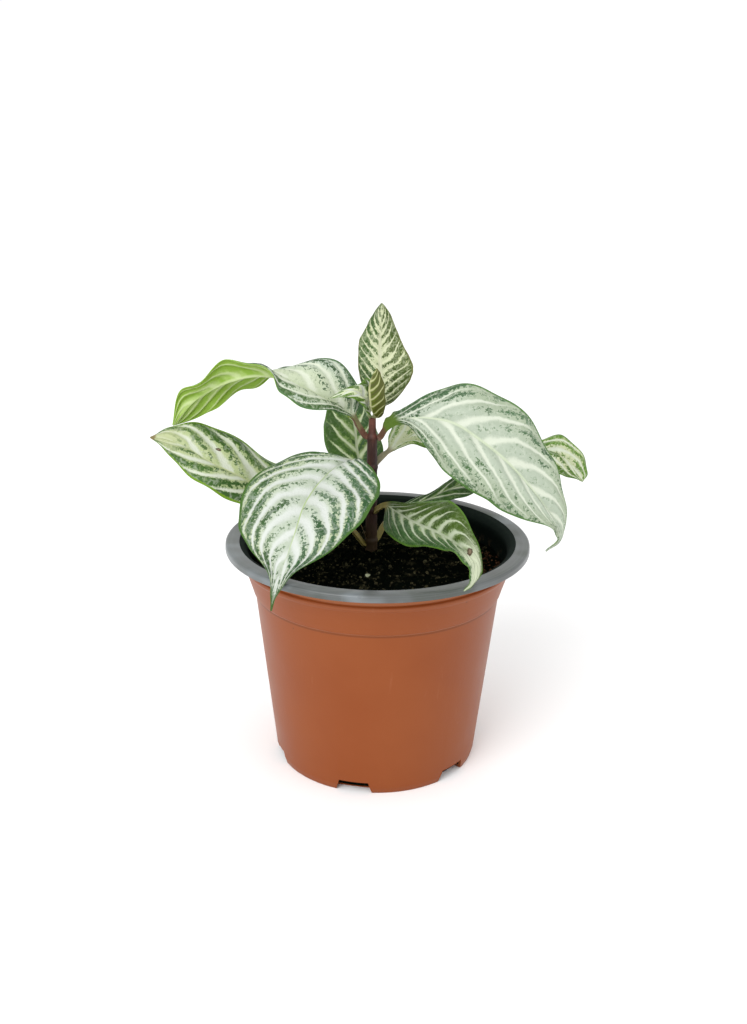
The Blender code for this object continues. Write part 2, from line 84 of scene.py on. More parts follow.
# helpers for node trees
def addNode(tree, kind, inputs=None, **settings):
    made = tree.nodes.new(kind)
    for key, value in settings.items():
        setattr(made, key, value)
    for key, value in (inputs or {}).items():
        if isinstance(value, bpy.types.NodeSocket):
            tree.links.new(value, made.inputs[key])
        elif value is not None:
            made.inputs[key].default_value = value
    return made


def calc(tree, operation, a, b=None, clamp=False):
    made = addNode(tree, "ShaderNodeMath", {0: a, 1: b}, operation=operation, use_clamp=clamp)
    return made.outputs[0]


def plus(tree, a, b):
    return calc(tree, "ADD", a, b)


def minus(tree, a, b):
    return calc(tree, "SUBTRACT", a, b)


def times(tree, a, b):
    return calc(tree, "MULTIPLY", a, b)


def fromHalf(tree, value, amount):
    # how far a value between 0 and 1 lies from the middle, times an amount
    return times(tree, minus(tree, value, 0.5), amount)


def ramp(tree, value, low, high, start=0.0, end=1.0, kind="SMOOTHSTEP"):
    sockets = {"Value": value, "From Min": low, "From Max": high, "To Min": start, "To Max": end}
    return addNode(tree, "ShaderNodeMapRange", sockets, interpolation_type=kind).outputs[0]


def blendColour(tree, factor, a, b):
    def full(value):
        return value if isinstance(value, bpy.types.NodeSocket) else (*value, 1.0)

    sockets = {0: factor, 6: full(a), 7: full(b)}
    return addNode(tree, "ShaderNodeMix", sockets, data_type="RGBA").outputs[2]


def vectorMath(tree, operation, a, b=None, scale=None):
    sockets = {0: a, 1: b, 3: scale}
    return addNode(tree, "ShaderNodeVectorMath", sockets, operation=operation).outputs


def partsOf(tree, vector):
    return addNode(tree, "ShaderNodeSeparateXYZ", {0: vector}).outputs


def noiseAt(tree, vector, scale, detail=2.0, roughness=0.5):
    sockets = {"Vector": vector, "Scale": scale, "Detail": detail, "Roughness": roughness}
    return addNode(tree, "ShaderNodeTexNoise", sockets).outputs["Fac"]


def cellsAt(tree, vector, scale, **settings):
    sockets = {"Vector": vector, "Scale": scale}
    return addNode(tree, "ShaderNodeTexVoronoi", sockets, **settings).outputs


def objectPlace(tree):
    return addNode(tree, "ShaderNodeTexCoord").outputs["Object"]


def newGroup(name, vectors, numbers):
    # vectors are the names of its places, numbers its other inputs with their start values
    group = bpy.data.node_groups.new(name, "ShaderNodeTree")
    ask = group.interface.new_socket
    for label in vectors:
        ask(label, in_out="INPUT", socket_type="NodeSocketVector")
    for label, start in numbers.items():
        ask(label, in_out="INPUT", socket_type="NodeSocketFloat").default_value = start
    return group, group.nodes.new("NodeGroupInput").outputs


def finishGroup(group, outputs):
    for label in outputs:
        group.interface.new_socket(label, in_out="OUTPUT", socket_type="NodeSocketFloat")
    result = group.nodes.new("NodeGroupOutput").inputs
    for label, socket in outputs.items():
        group.links.new(socket, result[label])
    return group


def useGroup(tree, group, values):
    return addNode(tree, "ShaderNodeGroup", values, node_tree=group).outputs


def newMaterial(name, roughness, specular=0.5):
    material = bpy.data.materials.new(name)
    material.use_nodes = True
    shader = material.node_tree.nodes["Principled BSDF"]
    shader.inputs["Roughness"].default_value = roughness
    shader.inputs["Specular IOR Level"].default_value = specular
    return material, material.node_tree, shader


def setColour(tree, shader, colour):
    tree.links.new(colour, shader.inputs["Base Color"])


def setGloss(tree, shader, value, smoothest, roughest):
    gloss = ramp(tree, value, 0.3, 0.7, smoothest, roughest, "LINEAR")
    tree.links.new(gloss, shader.inputs["Roughness"])


def addBump(tree, shader, height, strength, distance):
    sockets = {"Height": height, "Strength": strength, "Distance": distance * mm}
    tree.links.new(addNode(tree, "ShaderNodeBump", sockets).outputs[0], shader.inputs["Normal"])


def buildGrainGroup():
    # fine moulding grain, broad unevenness, specks and scuffs, for the pot's plastics
    numbers = {"Grain scale": 900.0, "Speck amount": 0.5}
    group, given = newGroup("plasticGrain", ["Place"], numbers)
    place = given["Place"]
    stretched = addNode(group, "ShaderNodeMapping", {"Vector": place, "Scale": (1.0, 1.0, 0.12)})
    scuffs = noiseAt(group, stretched.outputs[0], 420.0, 4.0, 0.7)
    dots = cellsAt(group, place, 95.0)
    near = ramp(group, dots["Distance"], 0.05, 0.018)
    tint = addNode(group, "ShaderNodeSeparateColor", {0: dots["Color"]}).outputs[0]
    chosen = calc(group, "LESS_THAN", tint, times(group, given["Speck amount"], 0.3))
    outputs = {
        "Grain": noiseAt(group, place, given["Grain scale"], 3.0),
        "Cloud": noiseAt(group, place, 28.0, 3.0),
        "Specks": times(group, near, chosen),
        "Scuffs": ramp(group, scuffs, 0.62, 0.8),
    }
    return finishGroup(group, outputs)


# what the zebra pattern starts from, where a leaf says nothing else
zebraDefaults = {
    "Stripe": 1.0,
    "Start": 0.4,
    "Gain": 1.0,
    "Patches": 0.8,
    "Speckle": 0.8,
    "Blots": 0.9,
    "Softness": 0.1,
    "Vein at rib": 0.3,
    "Vein at margin": 0.12,
    "Vein reach": 0.80,
    "Margin": 0.05,
    "Rib": 0.03,
    "Seed": 0.0,
    "Wobble": 0.44,
    "Right shift": 0.0,
    "Base green": 0.0,
}


def buildZebraGroup():
    # Pale veins, green islands between them, a green margin and a thin midrib. Vein place holds
    # the vein's phase and the distance from the midrib, leaf place runs along and across.
    places = ["Vein place", "Leaf place", "Object place"]
    group, given = newGroup("zebraPattern", places, zebraDefaults)
    phase, outward, _ = partsOf(group, given["Vein place"])
    along, across, _ = partsOf(group, given["Leaf place"])
    seed = given["Seed"]
    shift = addNode(group, "ShaderNodeCombineXYZ", {0: seed, 1: seed, 2: seed}).outputs[0]
    place = vectorMath(group, "ADD", given["Object place"], shift)[0]

    # speckles: small tinted cells with grain inside them, and a net of fine side veins
    fine = noiseAt(group, place, 1350.0, 2.0, 0.6)
    finer = noiseAt(group, place, 2900.0, 1.0, 0.5)
    blots = noiseAt(group, place, 380.0, 2.0, 0.6)
    jitter = addNode(group, "ShaderNodeTexNoise", {"Vector": place, "Scale": 700.0, "Detail": 1.0})
    jitter = vectorMath(group, "SCALE", jitter.outputs["Color"], scale=0.0012)[0]
    loose = vectorMath(group, "ADD", place, jitter)[0]
    cellColour = cellsAt(group, loose, 1000.0)["Color"]
    cellTint = addNode(group, "ShaderNodeSeparateColor", {0: cellColour}).outputs[0]
    grains = plus(group, times(group, fine, 0.7), times(group, finer, 0.3))
    speck = plus(group, times(group, cellTint, 0.25), times(group, grains, 0.75))
    netEdge = cellsAt(group, loose, 330.0, feature="DISTANCE_TO_EDGE")["Distance"]
    net = times(group, ramp(group, netEdge, 0.14, 0.02), ramp(group, blots, 0.40, 0.62))

    # veins: narrower and paler towards the margin, with ragged edges
    wobble = fromHalf(group, noiseAt(group, place, 130.0, 2.0), given["Wobble"])
    bent = times(group, plus(group, phase, wobble), 2.0)
    fromVein = calc(group, "PINGPONG", bent, 1.0)  # 0 on a vein, 1 midway
    ends = given["Vein at rib"], given["Vein at margin"]
    width = ramp(group, outward, 0.0, 1.0, *ends, "LINEAR")
    ragged = plus(group, 0.55, times(group, speck, 0.9))
    veinEdge = times(group, calc(group, "DIVIDE", fromVein, width), ragged)
    reach = given["Vein reach"]
    fade = ramp(group, outward, reach, plus(group, reach, 0.18), 1.0, 0.2)
    vein = times(group, ramp(group, veinEdge, 1.65, 0.30), fade)

    # islands: wanted where midway between veins, far from the rib, patchy, with speckled edges
    wanted = fromHalf(group, fromVein, given["Stripe"])
    sideShift = times(group, ramp(group, across, 0.45, 0.55), given["Right shift"])
    baseShift = times(group, ramp(group, along, 0.34, 0.04), given["Base green"])
    start = minus(group, plus(group, given["Start"], sideShift), baseShift)
    far = times(group, minus(group, outward, start), given["Gain"])
    patchy = fromHalf(group, noiseAt(group, place, 95.0, 2.0), given["Patches"])
    patchy = plus(group, patchy, fromHalf(group, blots, given["Blots"]))
    speckled = fromHalf(group, speck, given["Speckle"])
    total = plus(group, plus(group, wanted, far), plus(group, patchy, speckled))
    softness = given["Softness"]
    island = ramp(group, total, times(group, softness, -1.0), softness)
    clear = minus(group, 1.0, times(group, vein, 0.9))

    edge = minus(group, minus(group, 1.0, given["Margin"]), fromHalf(group, fine, 0.05))
    margin = ramp(group, outward, minus(group, edge, 0.02), plus(group, edge, 0.01))
    rib = ramp(group, outward, given["Rib"], times(group, given["Rib"], 0.4))
    pits = times(group, cellsAt(group, place, 1500.0)["Distance"], 0.5)
    outputs = {
        "Mottle": times(group, ramp(group, speck, 0.50, 0.64), ramp(group, blots, 0.44, 0.62)),
        "Speck": speck,
        "Net": net,
        "Vein": vein,
        "Green": times(group, island, clear),
        "Margin": margin,
        "Rib": times(group, rib, ramp(group, along, 0.95, 0.55)),
        "Tone": noiseAt(group, place, 60.0, 3.0),
        "Height": plus(group, pits, times(group, vein, -0.5)),
    }
    return finishGroup(group, outputs)


def buildSpotGroup():
    # a small withered spot at one place of a leaf's own map
    group, given = newGroup("witheredSpot", ["Leaf place", "Object place", "Centre", "Stretch"], {})
    offset = vectorMath(group, "SUBTRACT", given["Leaf place"], given["Centre"])[0]
    scaled = vectorMath(group, "MULTIPLY", offset, given["Stretch"])[0]
    ragged = fromHalf(group, noiseAt(group, given["Object place"], 1300.0), 0.9)
    reach = plus(group, vectorMath(group, "LENGTH", scaled)["Value"], ragged)
    outputs = {"Spot": ramp(group, reach, 1.1, 0.85), "Core": ramp(group, reach, 0.7, 0.3)}
    return finishGroup(group, outputs)


print("building the shared effects")
grainGroup = buildGrainGroup()
zebraGroup = buildZebraGroup()
spotGroup = buildSpotGroup()


# The pot: a thin two-tone shell, terracotta outside and charcoal on the rim and inside.
pot = {
    "height": 91.2,
    "rimRadius": 60.0,
    "openingRadius": 54.5,
    "lipDrop": 2.8,
    "collarRadius": 52.5,
    "beadReach": 0.8,
    "beadTopZ": 84.2,
    "beadBottomZ": 81.6,
    "shoulderRadius": 51.6,
    "shoulderZ": 78.5,
    "waistRadius": 50.3,
    "waistZ": 74.5,
    "stepRadius": 49.4,
    "bodyTopRadius": 48.7,
    "bodyTopZ": 71.0,
    "footRadius": 40.4,
    "footFlare": 0.7,
    "footFlareZ": 2.6,
    "footRingWidth": 6.0,
    "wall": 1.2,
    "floor": 1.6,
    "innerShoulderZ": 78.8,
    "innerCollarZ": (83.0, 88.3),
    "steps": 192,
    "cornerRadius": 0.22,
    "sharpAngle": 50.0,
    "notchCount": 6,
    "notchHeight": 4.8,
    "notchAngle": 21.0,
    "notchDepth": 4.0,
    "firstNotchAngle": -12.0,
    "charcoalStartZ": 88.25,
    "terracotta": (0.226, 0.052, 0.009),
    "terracottaWorn": (0.240, 0.059, 0.012),
    "terracottaScuff": (0.42, 0.20, 0.12),
    "terracottaSpeck": (0.12, 0.035, 0.015),
    # painted highlights along the bead and the step
    "paintedHighlight": (0.40, 0.17, 0.095),
    "paintedHighlightLines": ((82.8, 0.5, 0.15), (70.9, 0.3, 0.30)),  # height, half width and share
    # painted shade in the line just below the step
    "paintedCreaseShade": (0.12, 0.030, 0.007),
    "paintedCreaseShadeZ": 70.3,
    # painted light just under the rim: its colour and the heights where it fades in
    "paintedLightUnderRim": (0.52, 0.20, 0.085),
    "paintedLightUnderRimZ": (83.8, 84.6),
    "charcoal": (0.074, 0.082, 0.080),
    "charcoalPale": (0.135, 0.150, 0.152),
    "charcoalScuff": (0.33, 0.34, 0.33),
    "charcoalSpeck": (0.03, 0.03, 0.025),
    "sheenDark": (0.048, 0.056, 0.046),
    "sheenPale": (0.185, 0.210, 0.225),
    "turningMarks": (0.19, 0.205, 0.205),
    # painted shade inside the pot: the colour deep down, the colour at the top and the heights
    # between
    "paintedShadeDeep": (0.0016, 0.0036, 0.0026),
    "insideTop": (0.012, 0.018, 0.015),
    "paintedShadeFadeZ": (85.5, 91.2),
    "splashes": (0.020, 0.014, 0.008),
    "splashZ": (85.0, 82.0),
}


def roundedProfile(profile):
    # each corner becomes a short three-point curve
    points = [np.array(point, float) for point in profile]
    result = [points[0]]
    for before, corner, after in zip(points, points[1:], points[2:]):
        back, ahead = before - corner, after - corner
        lengths = np.linalg.norm(back), np.linalg.norm(ahead)
        reach = min(pot["cornerRadius"], 0.35 * lengths[0], 0.35 * lengths[1])
        start = corner + back / lengths[0] * reach
        end = corner + ahead / lengths[1] * reach
        result += [start, 0.25 * start + 0.5 * corner + 0.25 * end, end]
    return result + [points[-1]]


def potProfile():
    # radius and height, from the opening down the outside, then from the floor up the inside
    height, wall, floor = pot["height"], pot["wall"], pot["floor"]
    rim, collar, foot = pot["rimRadius"], pot["collarRadius"], pot["footRadius"]
    lipZ, flangeZ = height - pot["lipDrop"], height - wall
    beadRadius, under = collar + pot["beadReach"], foot - pot["footRingWidth"]
    outer = [
        (pot["openingRadius"], height),
        (rim - 0.7, height),
        (rim - 0.1, height - 0.5),
        (rim, lipZ + 0.2),
        (rim - 0.6, lipZ),
        (rim - wall, lipZ + 0.3),
        (rim - wall - 0.3, flangeZ),
        (collar + 1.4, flangeZ),
        (collar + 0.2, flangeZ - 1.3),
        (collar, pot["beadTopZ"]),
        (beadRadius, pot["beadTopZ"] - 0.6),
        (beadRadius, pot["beadBottomZ"] + 0.9),
        (collar + 0.2, pot["beadBottomZ"]),
        (pot["shoulderRadius"], pot["shoulderZ"]),
        (pot["waistRadius"], pot["waistZ"]),
        (pot["stepRadius"], pot["bodyTopZ"] + 0.4),
        (pot["bodyTopRadius"], pot["bodyTopZ"] - 0.2),
        (foot + pot["footFlare"], pot["footFlareZ"]),
        (foot, 0.0),
        (under, 0.0),
        (0.0, 0.0),
    ]
    inner = [
        (0.0, floor),
        (under, floor),
        (foot + 0.5 - wall, floor),
        (pot["bodyTopRadius"] - wall, pot["bodyTopZ"]),
        (pot["shoulderRadius"] - wall, pot["innerShoulderZ"]),
        (collar - wall, pot["innerCollarZ"][0]),
        (collar - wall, pot["innerCollarZ"][1]),
        (pot["openingRadius"] - 1.9, height - 0.9),
        (pot["openingRadius"], height),
    ]
    return roundedProfile(outer), roundedProfile(inner)


def terracottaMaterial():
    material, tree, shader = newMaterial("terracottaPlastic", 0.42, 0.22)
    place = objectPlace(tree)
    values = {"Place": place, "Grain scale": 1100.0, "Speck amount": 0.35}
    grain = useGroup(tree, grainGroup, values)
    worn = ramp(tree, grain["Cloud"], 0.35, 0.7)
    base = blendColour(tree, worn, pot["terracotta"], pot["terracottaWorn"])
    base = blendColour(tree, times(tree, grain["Scuffs"], 0.10), base, pot["terracottaScuff"])
    base = blendColour(tree, times(tree, grain["Specks"], 0.8), base, pot["terracottaSpeck"])
    # painted highlights: the bead under the rim and the step below the collar are painted a little
    # paler along thin lines
    height = partsOf(tree, place)[2]
    for middle, half, share in pot["paintedHighlightLines"]:
        away = calc(tree, "ABSOLUTE", minus(tree, height, middle * mm))
        paintedHighlight = times(tree, ramp(tree, away, half * mm, half * 0.4 * mm), share)
        base = blendColour(tree, paintedHighlight, base, pot["paintedHighlight"])
    # painted shade: a dark line just under the step, where the step shades the body
    away = calc(tree, "ABSOLUTE", minus(tree, height, pot["paintedCreaseShadeZ"] * mm))
    base = blendColour(tree, ramp(tree, away, 0.6 * mm, 0.2 * mm, 0.0, 0.55), base, pot["paintedCreaseShade"])
    # painted light: the collar just under the rim is painted paler, to lift the shade that the rim
    # casts there
    low, high = pot["paintedLightUnderRimZ"]
    paintedLightUnderRim = times(tree, ramp(tree, height, low * mm, high * mm), 0.45)
    setColour(tree, shader, blendColour(tree, paintedLightUnderRim, base, pot["paintedLightUnderRim"]))
    setGloss(tree, shader, grain["Cloud"], 0.36, 0.46)
    addBump(tree, shader, grain["Grain"], 0.12, 0.2)
    return material


def charcoalMaterial():
    material, tree, shader = newMaterial("charcoalPlastic", 0.30)
    place = objectPlace(tree)
    values = {"Place": place, "Grain scale": 1500.0, "Speck amount": 0.6}
    grain = useGroup(tree, grainGroup, values)
    paler = ramp(tree, grain["Cloud"], 0.35, 0.75)
    base = blendColour(tree, paler, pot["charcoal"], pot["charcoalPale"])
    # painted reflection: broad darker and paler patches of sheen across the rim
    sheen = noiseAt(tree, place, 38.0, 2.0)
    base = blendColour(tree, ramp(tree, sheen, 0.48, 0.38, 0.0, 0.75), base, pot["sheenDark"])
    base = blendColour(tree, ramp(tree, sheen, 0.50, 0.62, 0.0, 0.8), base, pot["sheenPale"])
    base = blendColour(tree, times(tree, grain["Scuffs"], 0.08), base, pot["charcoalScuff"])
    # faint turning marks run round the rim
    x, y, z = partsOf(tree, place)
    squares = plus(tree, calc(tree, "POWER", x, 2.0), calc(tree, "POWER", y, 2.0))
    fromAxis = calc(tree, "SQRT", squares)
    section = addNode(tree, "ShaderNodeCombineXYZ", {0: fromAxis, 1: z, 2: 0.0}).outputs[0]
    turning = noiseAt(tree, section, 1400.0, 3.0, 0.6)
    base = blendColour(tree, ramp(tree, turning, 0.45, 0.7, 0.0, 0.18), base, pot["turningMarks"])
    base = blendColour(tree, times(tree, grain["Specks"], 0.6), base, pot["charcoalSpeck"])
    setColour(tree, shader, base)
    setGloss(tree, shader, grain["Cloud"], 0.26, 0.36)
    addBump(tree, shader, plus(tree, times(tree, grain["Grain"], 0.5), turning), 0.14, 0.2)
    return material


def insideMaterial():
    # the inner wall, nearly black, with painted shade that makes it darker further down, and
    # splashed with soil
    material, tree, shader = newMaterial("charcoalInside", 0.8, 0.03)
    place = objectPlace(tree)
    height = partsOf(tree, place)[2]
    splash = noiseAt(tree, place, 320.0, 4.0, 0.65)
    # painted shade: darker further down inside the pot
    low, high = (z * mm for z in pot["paintedShadeFadeZ"])
    base = blendColour(tree, ramp(tree, height, low, high), pot["paintedShadeDeep"], pot["insideTop"])
    low, high = (z * mm for z in pot["splashZ"])
    dirt = ramp(tree, plus(tree, height, fromHalf(tree, splash, 0.010)), low, high)
    dirt = times(tree, dirt, ramp(tree, splash, 0.50, 0.62))
    setColour(tree, shader, blendColour(tree, dirt, base, pot["splashes"]))
    addBump(tree, shader, splash, 0.15, 0.3)
    return material


def potFinish(face):
    # 0 is the terracotta outside, 1 the charcoal rim and 2 the inside
    middle, normal = face.center, face.normal
    radius = math.hypot(middle.x, middle.y)
    outward = normal.x * middle.x + normal.y * middle.y > -1e-9
    onFloor = normal.z > 0.9 and radius < 45.0 * mm
    inside = middle.z > 0.5 * mm and (not outward or onFloor)
    if inside and radius < (pot["openingRadius"] - 0.1) * mm:
        return 2
    onRim = normal.z > 0.2 or radius > (pot["rimRadius"] - 0.75) * mm
    return 1 if middle.z > pot["charcoalStartZ"] * mm and onRim else 0


def notchBlock(index):
    middle = math.radians(pot["firstNotchAngle"] + index * 360.0 / pot["notchCount"] - 90.0)
    halfFoot = pot["footRadius"] * math.radians(pot["notchAngle"]) / 2.0
    halfTop, top = halfFoot - 1.6, pot["notchHeight"]
    section = [(-halfFoot, -1.0), (halfFoot, -1.0), (halfTop, top), (-halfTop, top)]
    radii = (pot["footRadius"] - pot["notchDepth"], pot["footRadius"] + pot["notchDepth"])
    corners = [(radius, side, z) for radius in radii for side, z in section]
    cos, sin = math.cos(middle), math.sin(middle)
    points = [(x * cos - y * sin, x * sin + y * cos, z) for x, y, z in corners]
    faces = [(0, 3, 2, 1), (4, 5, 6, 7), (0, 1, 5, 4), (1, 2, 6, 5), (2, 3, 7, 6), (3, 0, 4, 7)]
    return pieceFrom("notchBlock", points, faces, [], smooth=False)


def makePot():
    outer, inner = potProfile()
    profile = outer[:-1] + inner[1:-1]
    steps = pot["steps"]
    points = [point for radius, z in profile for point in ringPoints(radius, z, steps)]
    floorRow = len(outer) - 2  # the underside's last ring; the next one is on the floor inside
    faces = []
    for row in range(len(profile)):
        if row != floorRow:
            faces += bandFaces(row * steps, (row + 1) % len(profile) * steps, steps)
    under, over = len(points), len(points) + 1
    points += [(0.0, 0.0, 0.0), (0.0, 0.0, pot["floor"])]
    low, high = floorRow * steps, (floorRow + 1) * steps
    for step in range(steps):
        after = (step + 1) % steps
        faces.append((under, low + after, low + step))
        faces.append((over, high + step, high + after))
    finishes = [terracottaMaterial(), charcoalMaterial(), insideMaterial()]
    shell = pieceFrom("potShell", points, faces, finishes)
    for face in shell.data.polygons:
        face.material_index = potFinish(face)
    blocks = [notchBlock(index) for index in range(pot["notchCount"])]
    for block in blocks:
        cut = shell.modifiers.new("notch", "BOOLEAN")
        cut.operation = "DIFFERENCE"
        cut.object = block
    plain = evaluatedCopy(shell, "potPiece")
    for spare in [shell, *blocks]:
        bpy.data.objects.remove(spare)
    plain.data.set_sharp_from_angle(angle=math.radians(pot["sharpAngle"]))
    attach(plain, "root")
    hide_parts("pot")


print("making the pot")
makePot()


# The soil: an uneven dark mound with crumbs, bark fibres and a few paler bits on it.
soil = {
    "edgeZ": 80.0,
    "mound": 3.2,
    "edge": 49.75,
    "overlap": 0.3,  # the mound meets the wall, where the solid keeps clear of it
    "sides": ((49.75, 76.0), (47.0, 69.0), (38.7, 1.9)),
    "rings": 70,
    "steps": 180,
    "bumpHeight": 1.25,
    "crumbsPerSquareMetre": 230000.0,
    "crumbSizes": (0.35, 1.9),
    "fibresPerSquareMetre": 42000.0,
    "fibreSizes": (0.8, 1.6),
    "fibreLength": 3.2,
    "lumpPush": 1.1,
    "seed": 7,
    "dark": (0.0016, 0.0028, 0.0018),
    # painted shade for the hollows of the fine bump
    "hollowShade": (0.002, 0.002, 0.0015),
    "brown": (0.078, 0.068, 0.036),
    "olive": (0.110, 0.104, 0.056),
    "red": (0.110, 0.048, 0.026),
    "pale": (0.42, 0.44, 0.30),
    "paleCrumb": (-3.7, -19.0, 82.5),
    "barkPlace": (46.5, 2.0, 80.5),
}


def soilTopZ(x, y):
    # the same top as the solid's
    radius, angle = math.hypot(x, y), math.atan2(y, x) % (2.0 * math.pi)
    along = min(radius / soil["edge"], 1.0)
    mound = soil["mound"] * (0.5 + 0.5 * math.cos(math.pi * along))
    humps = 0.5 * math.sin(3.0 * angle + 0.7) * along * (1.0 - along) * 3.0
    ripples = 0.35 * math.sin(7.0 * angle + 4.0 * along) * min(along, 1.0 - along) * 2.0
    return soil["edgeZ"] + mound + humps + ripples


def soilHeight(x, y):
    lumps = noise.fractal(Vector((x * 0.16, y * 0.16, 3.0)), 0.9, 2.1, 4)
    fine = noise.noise(Vector((x * 0.9, y * 0.9, 8.0)))
    return soilTopZ(x, y) + soil["bumpHeight"] * (lumps + 0.35 * fine)


def nearTo(tree, place, spot, far, near):
    # 1 within near of a spot and 0 past far, all in millimetres
    away = vectorMath(tree, "DISTANCE", place, [value * mm for value in spot])["Value"]
    return ramp(tree, away, far * mm, near * mm)


def soilMaterial(name, lightness):
    # near-black with brown and olive clods; single crumbs are a little lighter
    material, tree, shader = newMaterial(name, 1.0, 0.0)
    place = objectPlace(tree)
    tint = addNode(tree, "ShaderNodeAttribute", attribute_name="crumbTint").outputs["Fac"]
    broad = noiseAt(tree, place, 70.0, 3.0)
    clods = noiseAt(tree, place, 330.0, 3.0, 0.65)
    fine = noiseAt(tree, place, 1100.0, 4.0, 0.7)
    patch = ramp(tree, broad, 0.40, 0.60, 0.35, 1.0)
    lumpy = plus(tree, times(tree, clods, 0.75), times(tree, tint, 0.16))
    brownShare = times(tree, ramp(tree, lumpy, 0.40, 0.54), patch)
    brownShare = calc(tree, "MULTIPLY", brownShare, lightness, clamp=True)
    base = blendColour(tree, brownShare, soil["dark"], soil["brown"])
    oliveShare = times(tree, ramp(tree, tint, 0.88, 0.97), patch)
    oliveShare = calc(tree, "MULTIPLY", oliveShare, lightness, clamp=True)
    oliveShare = times(tree, oliveShare, ramp(tree, clods, 0.44, 0.56))
    base = blendColour(tree, oliveShare, base, soil["olive"])
    # the right side carries reddish bark, and one pale crumb lies in front of the stem
    nearBark = nearTo(tree, place, soil["barkPlace"], 16.0, 6.0)
    redShare = times(tree, nearBark, ramp(tree, lumpy, 0.38, 0.50))
    base = blendColour(tree, redShare, base, soil["red"])
    # painted shade: darker where the fine bump is low, in the soil's hollows
    base = blendColour(tree, ramp(tree, fine, 0.60, 0.42, 0.0, 0.6), base, soil["hollowShade"])
    base = blendColour(tree, nearTo(tree, place, soil["paleCrumb"], 1.2, 0.7), base, soil["pale"])
    setColour(tree, shader, base)
    addBump(tree, shader, fine, 0.5, 0.5)
    return material


def randomVector(tree, seed, low, high):
    made = addNode(tree, "FunctionNodeRandomValue", {"Seed": seed}, data_type="FLOAT_VECTOR")
    made.inputs[0].default_value = low
    made.inputs[1].default_value = high
    return made.outputs[0]


def randomNumber(tree, seed, low=None, high=None):
    sockets = {2: low, 3: high, "Seed": seed}
    return addNode(tree, "FunctionNodeRandomValue", sockets, data_type="FLOAT").outputs[1]


def crumbTree(name, material, elongated):
    # scatters small stones, or flat strips when elongated, over the surface that it is given
    tree = bpy.data.node_groups.new(name, "GeometryNodeTree")
    ask = tree.interface.new_socket
    ask("Surface", in_out="INPUT", socket_type="NodeSocketGeometry")
    sockets = {}
    for label in ("Density", "Smallest", "Largest", "Length"):
        sockets[label] = ask(label, in_out="INPUT", socket_type="NodeSocketFloat")
    sockets["Seed"] = ask("Seed", in_out="INPUT", socket_type="NodeSocketInt")
    ask("Pieces", in_out="OUTPUT", socket_type="NodeSocketGeometry")
    given = tree.nodes.new("NodeGroupInput").outputs
    result = tree.nodes.new("NodeGroupOutput").inputs

    spreadOver = {"Mesh": given["Surface"], "Density": given["Density"], "Seed": given["Seed"]}
    spread = addNode(tree, "GeometryNodeDistributePointsOnFaces", spreadOver)
    if elongated:
        strip = {"Vertices": 5, "Side Segments": 3, "Radius": 0.09, "Depth": 1.0}
        shape = addNode(tree, "GeometryNodeMeshCylinder", strip)
        turn = randomVector(tree, 3, (1.2, 0.0, 0.0), (1.9, 0.5, 6.283))
    else:
        shape = addNode(tree, "GeometryNodeMeshIcoSphere", {"Radius": 1.0, "Subdivisions": 2})
        turn = randomVector(tree, 3, (0.0, 0.0, 0.0), (6.283, 6.283, 6.283))
    size = randomNumber(tree, 5, given["Smallest"], given["Largest"])
    squashed = randomVector(tree, 6, (0.6, 0.6, 0.4), (1.0, 1.0, 0.9))
    stretch = addNode(tree, "ShaderNodeCombineXYZ", {0: 1.0, 1: 1.0, 2: given["Length"]})
    grown = vectorMath(tree, "MULTIPLY", squashed, stretch.outputs[0])[0]
    grown = vectorMath(tree, "SCALE", grown, scale=size)[0]
    copies = {
        "Points": spread.outputs["Points"],
        "Instance": shape.outputs["Mesh"],
        "Rotation": turn,
        "Scale": grown,
    }
    placed = addNode(tree, "GeometryNodeInstanceOnPoints", copies).outputs[0]
    tinted = {"Geometry": placed, "Name": "crumbTint", "Value": randomNumber(tree, 11)}
    kind = {"data_type": "FLOAT", "domain": "INSTANCE"}
    named = addNode(tree, "GeometryNodeStoreNamedAttribute", tinted, **kind).outputs[0]
    real = addNode(tree, "GeometryNodeRealizeInstances", {0: named}).outputs[0]
    lumps = addNode(tree, "ShaderNodeTexNoise", {"Scale": 900.0, "Detail": 2.0}).outputs["Color"]
    pushed = vectorMath(tree, "SUBTRACT", lumps, (0.5, 0.5, 0.5))[0]
    pushed = vectorMath(tree, "SCALE", pushed, scale=soil["lumpPush"] * mm)[0]
    moved = addNode(tree, "GeometryNodeSetPosition", {"Geometry": real, "Offset": pushed})
    finished = {"Geometry": moved.outputs[0], "Material": material}
    finish = addNode(tree, "GeometryNodeSetMaterial", finished)
    tree.links.new(finish.outputs[0], result[0])
    return tree, {label: socket.identifier for label, socket in sockets.items()}


def scatterOver(surface, name, material, elongated, values):
    tree, identifiers = crumbTree(name + "Scatter", material, elongated)
    carrier = objectFor("carrier", surface)
    scatter = carrier.modifiers.new("scatter", "NODES")
    scatter.node_group = tree
    for label, value in values.items():
        scatter[identifiers[label]] = value
    made = evaluatedCopy(carrier, name)
    bpy.data.objects.remove(carrier)
    made.data.shade_smooth()
    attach(made, "root")


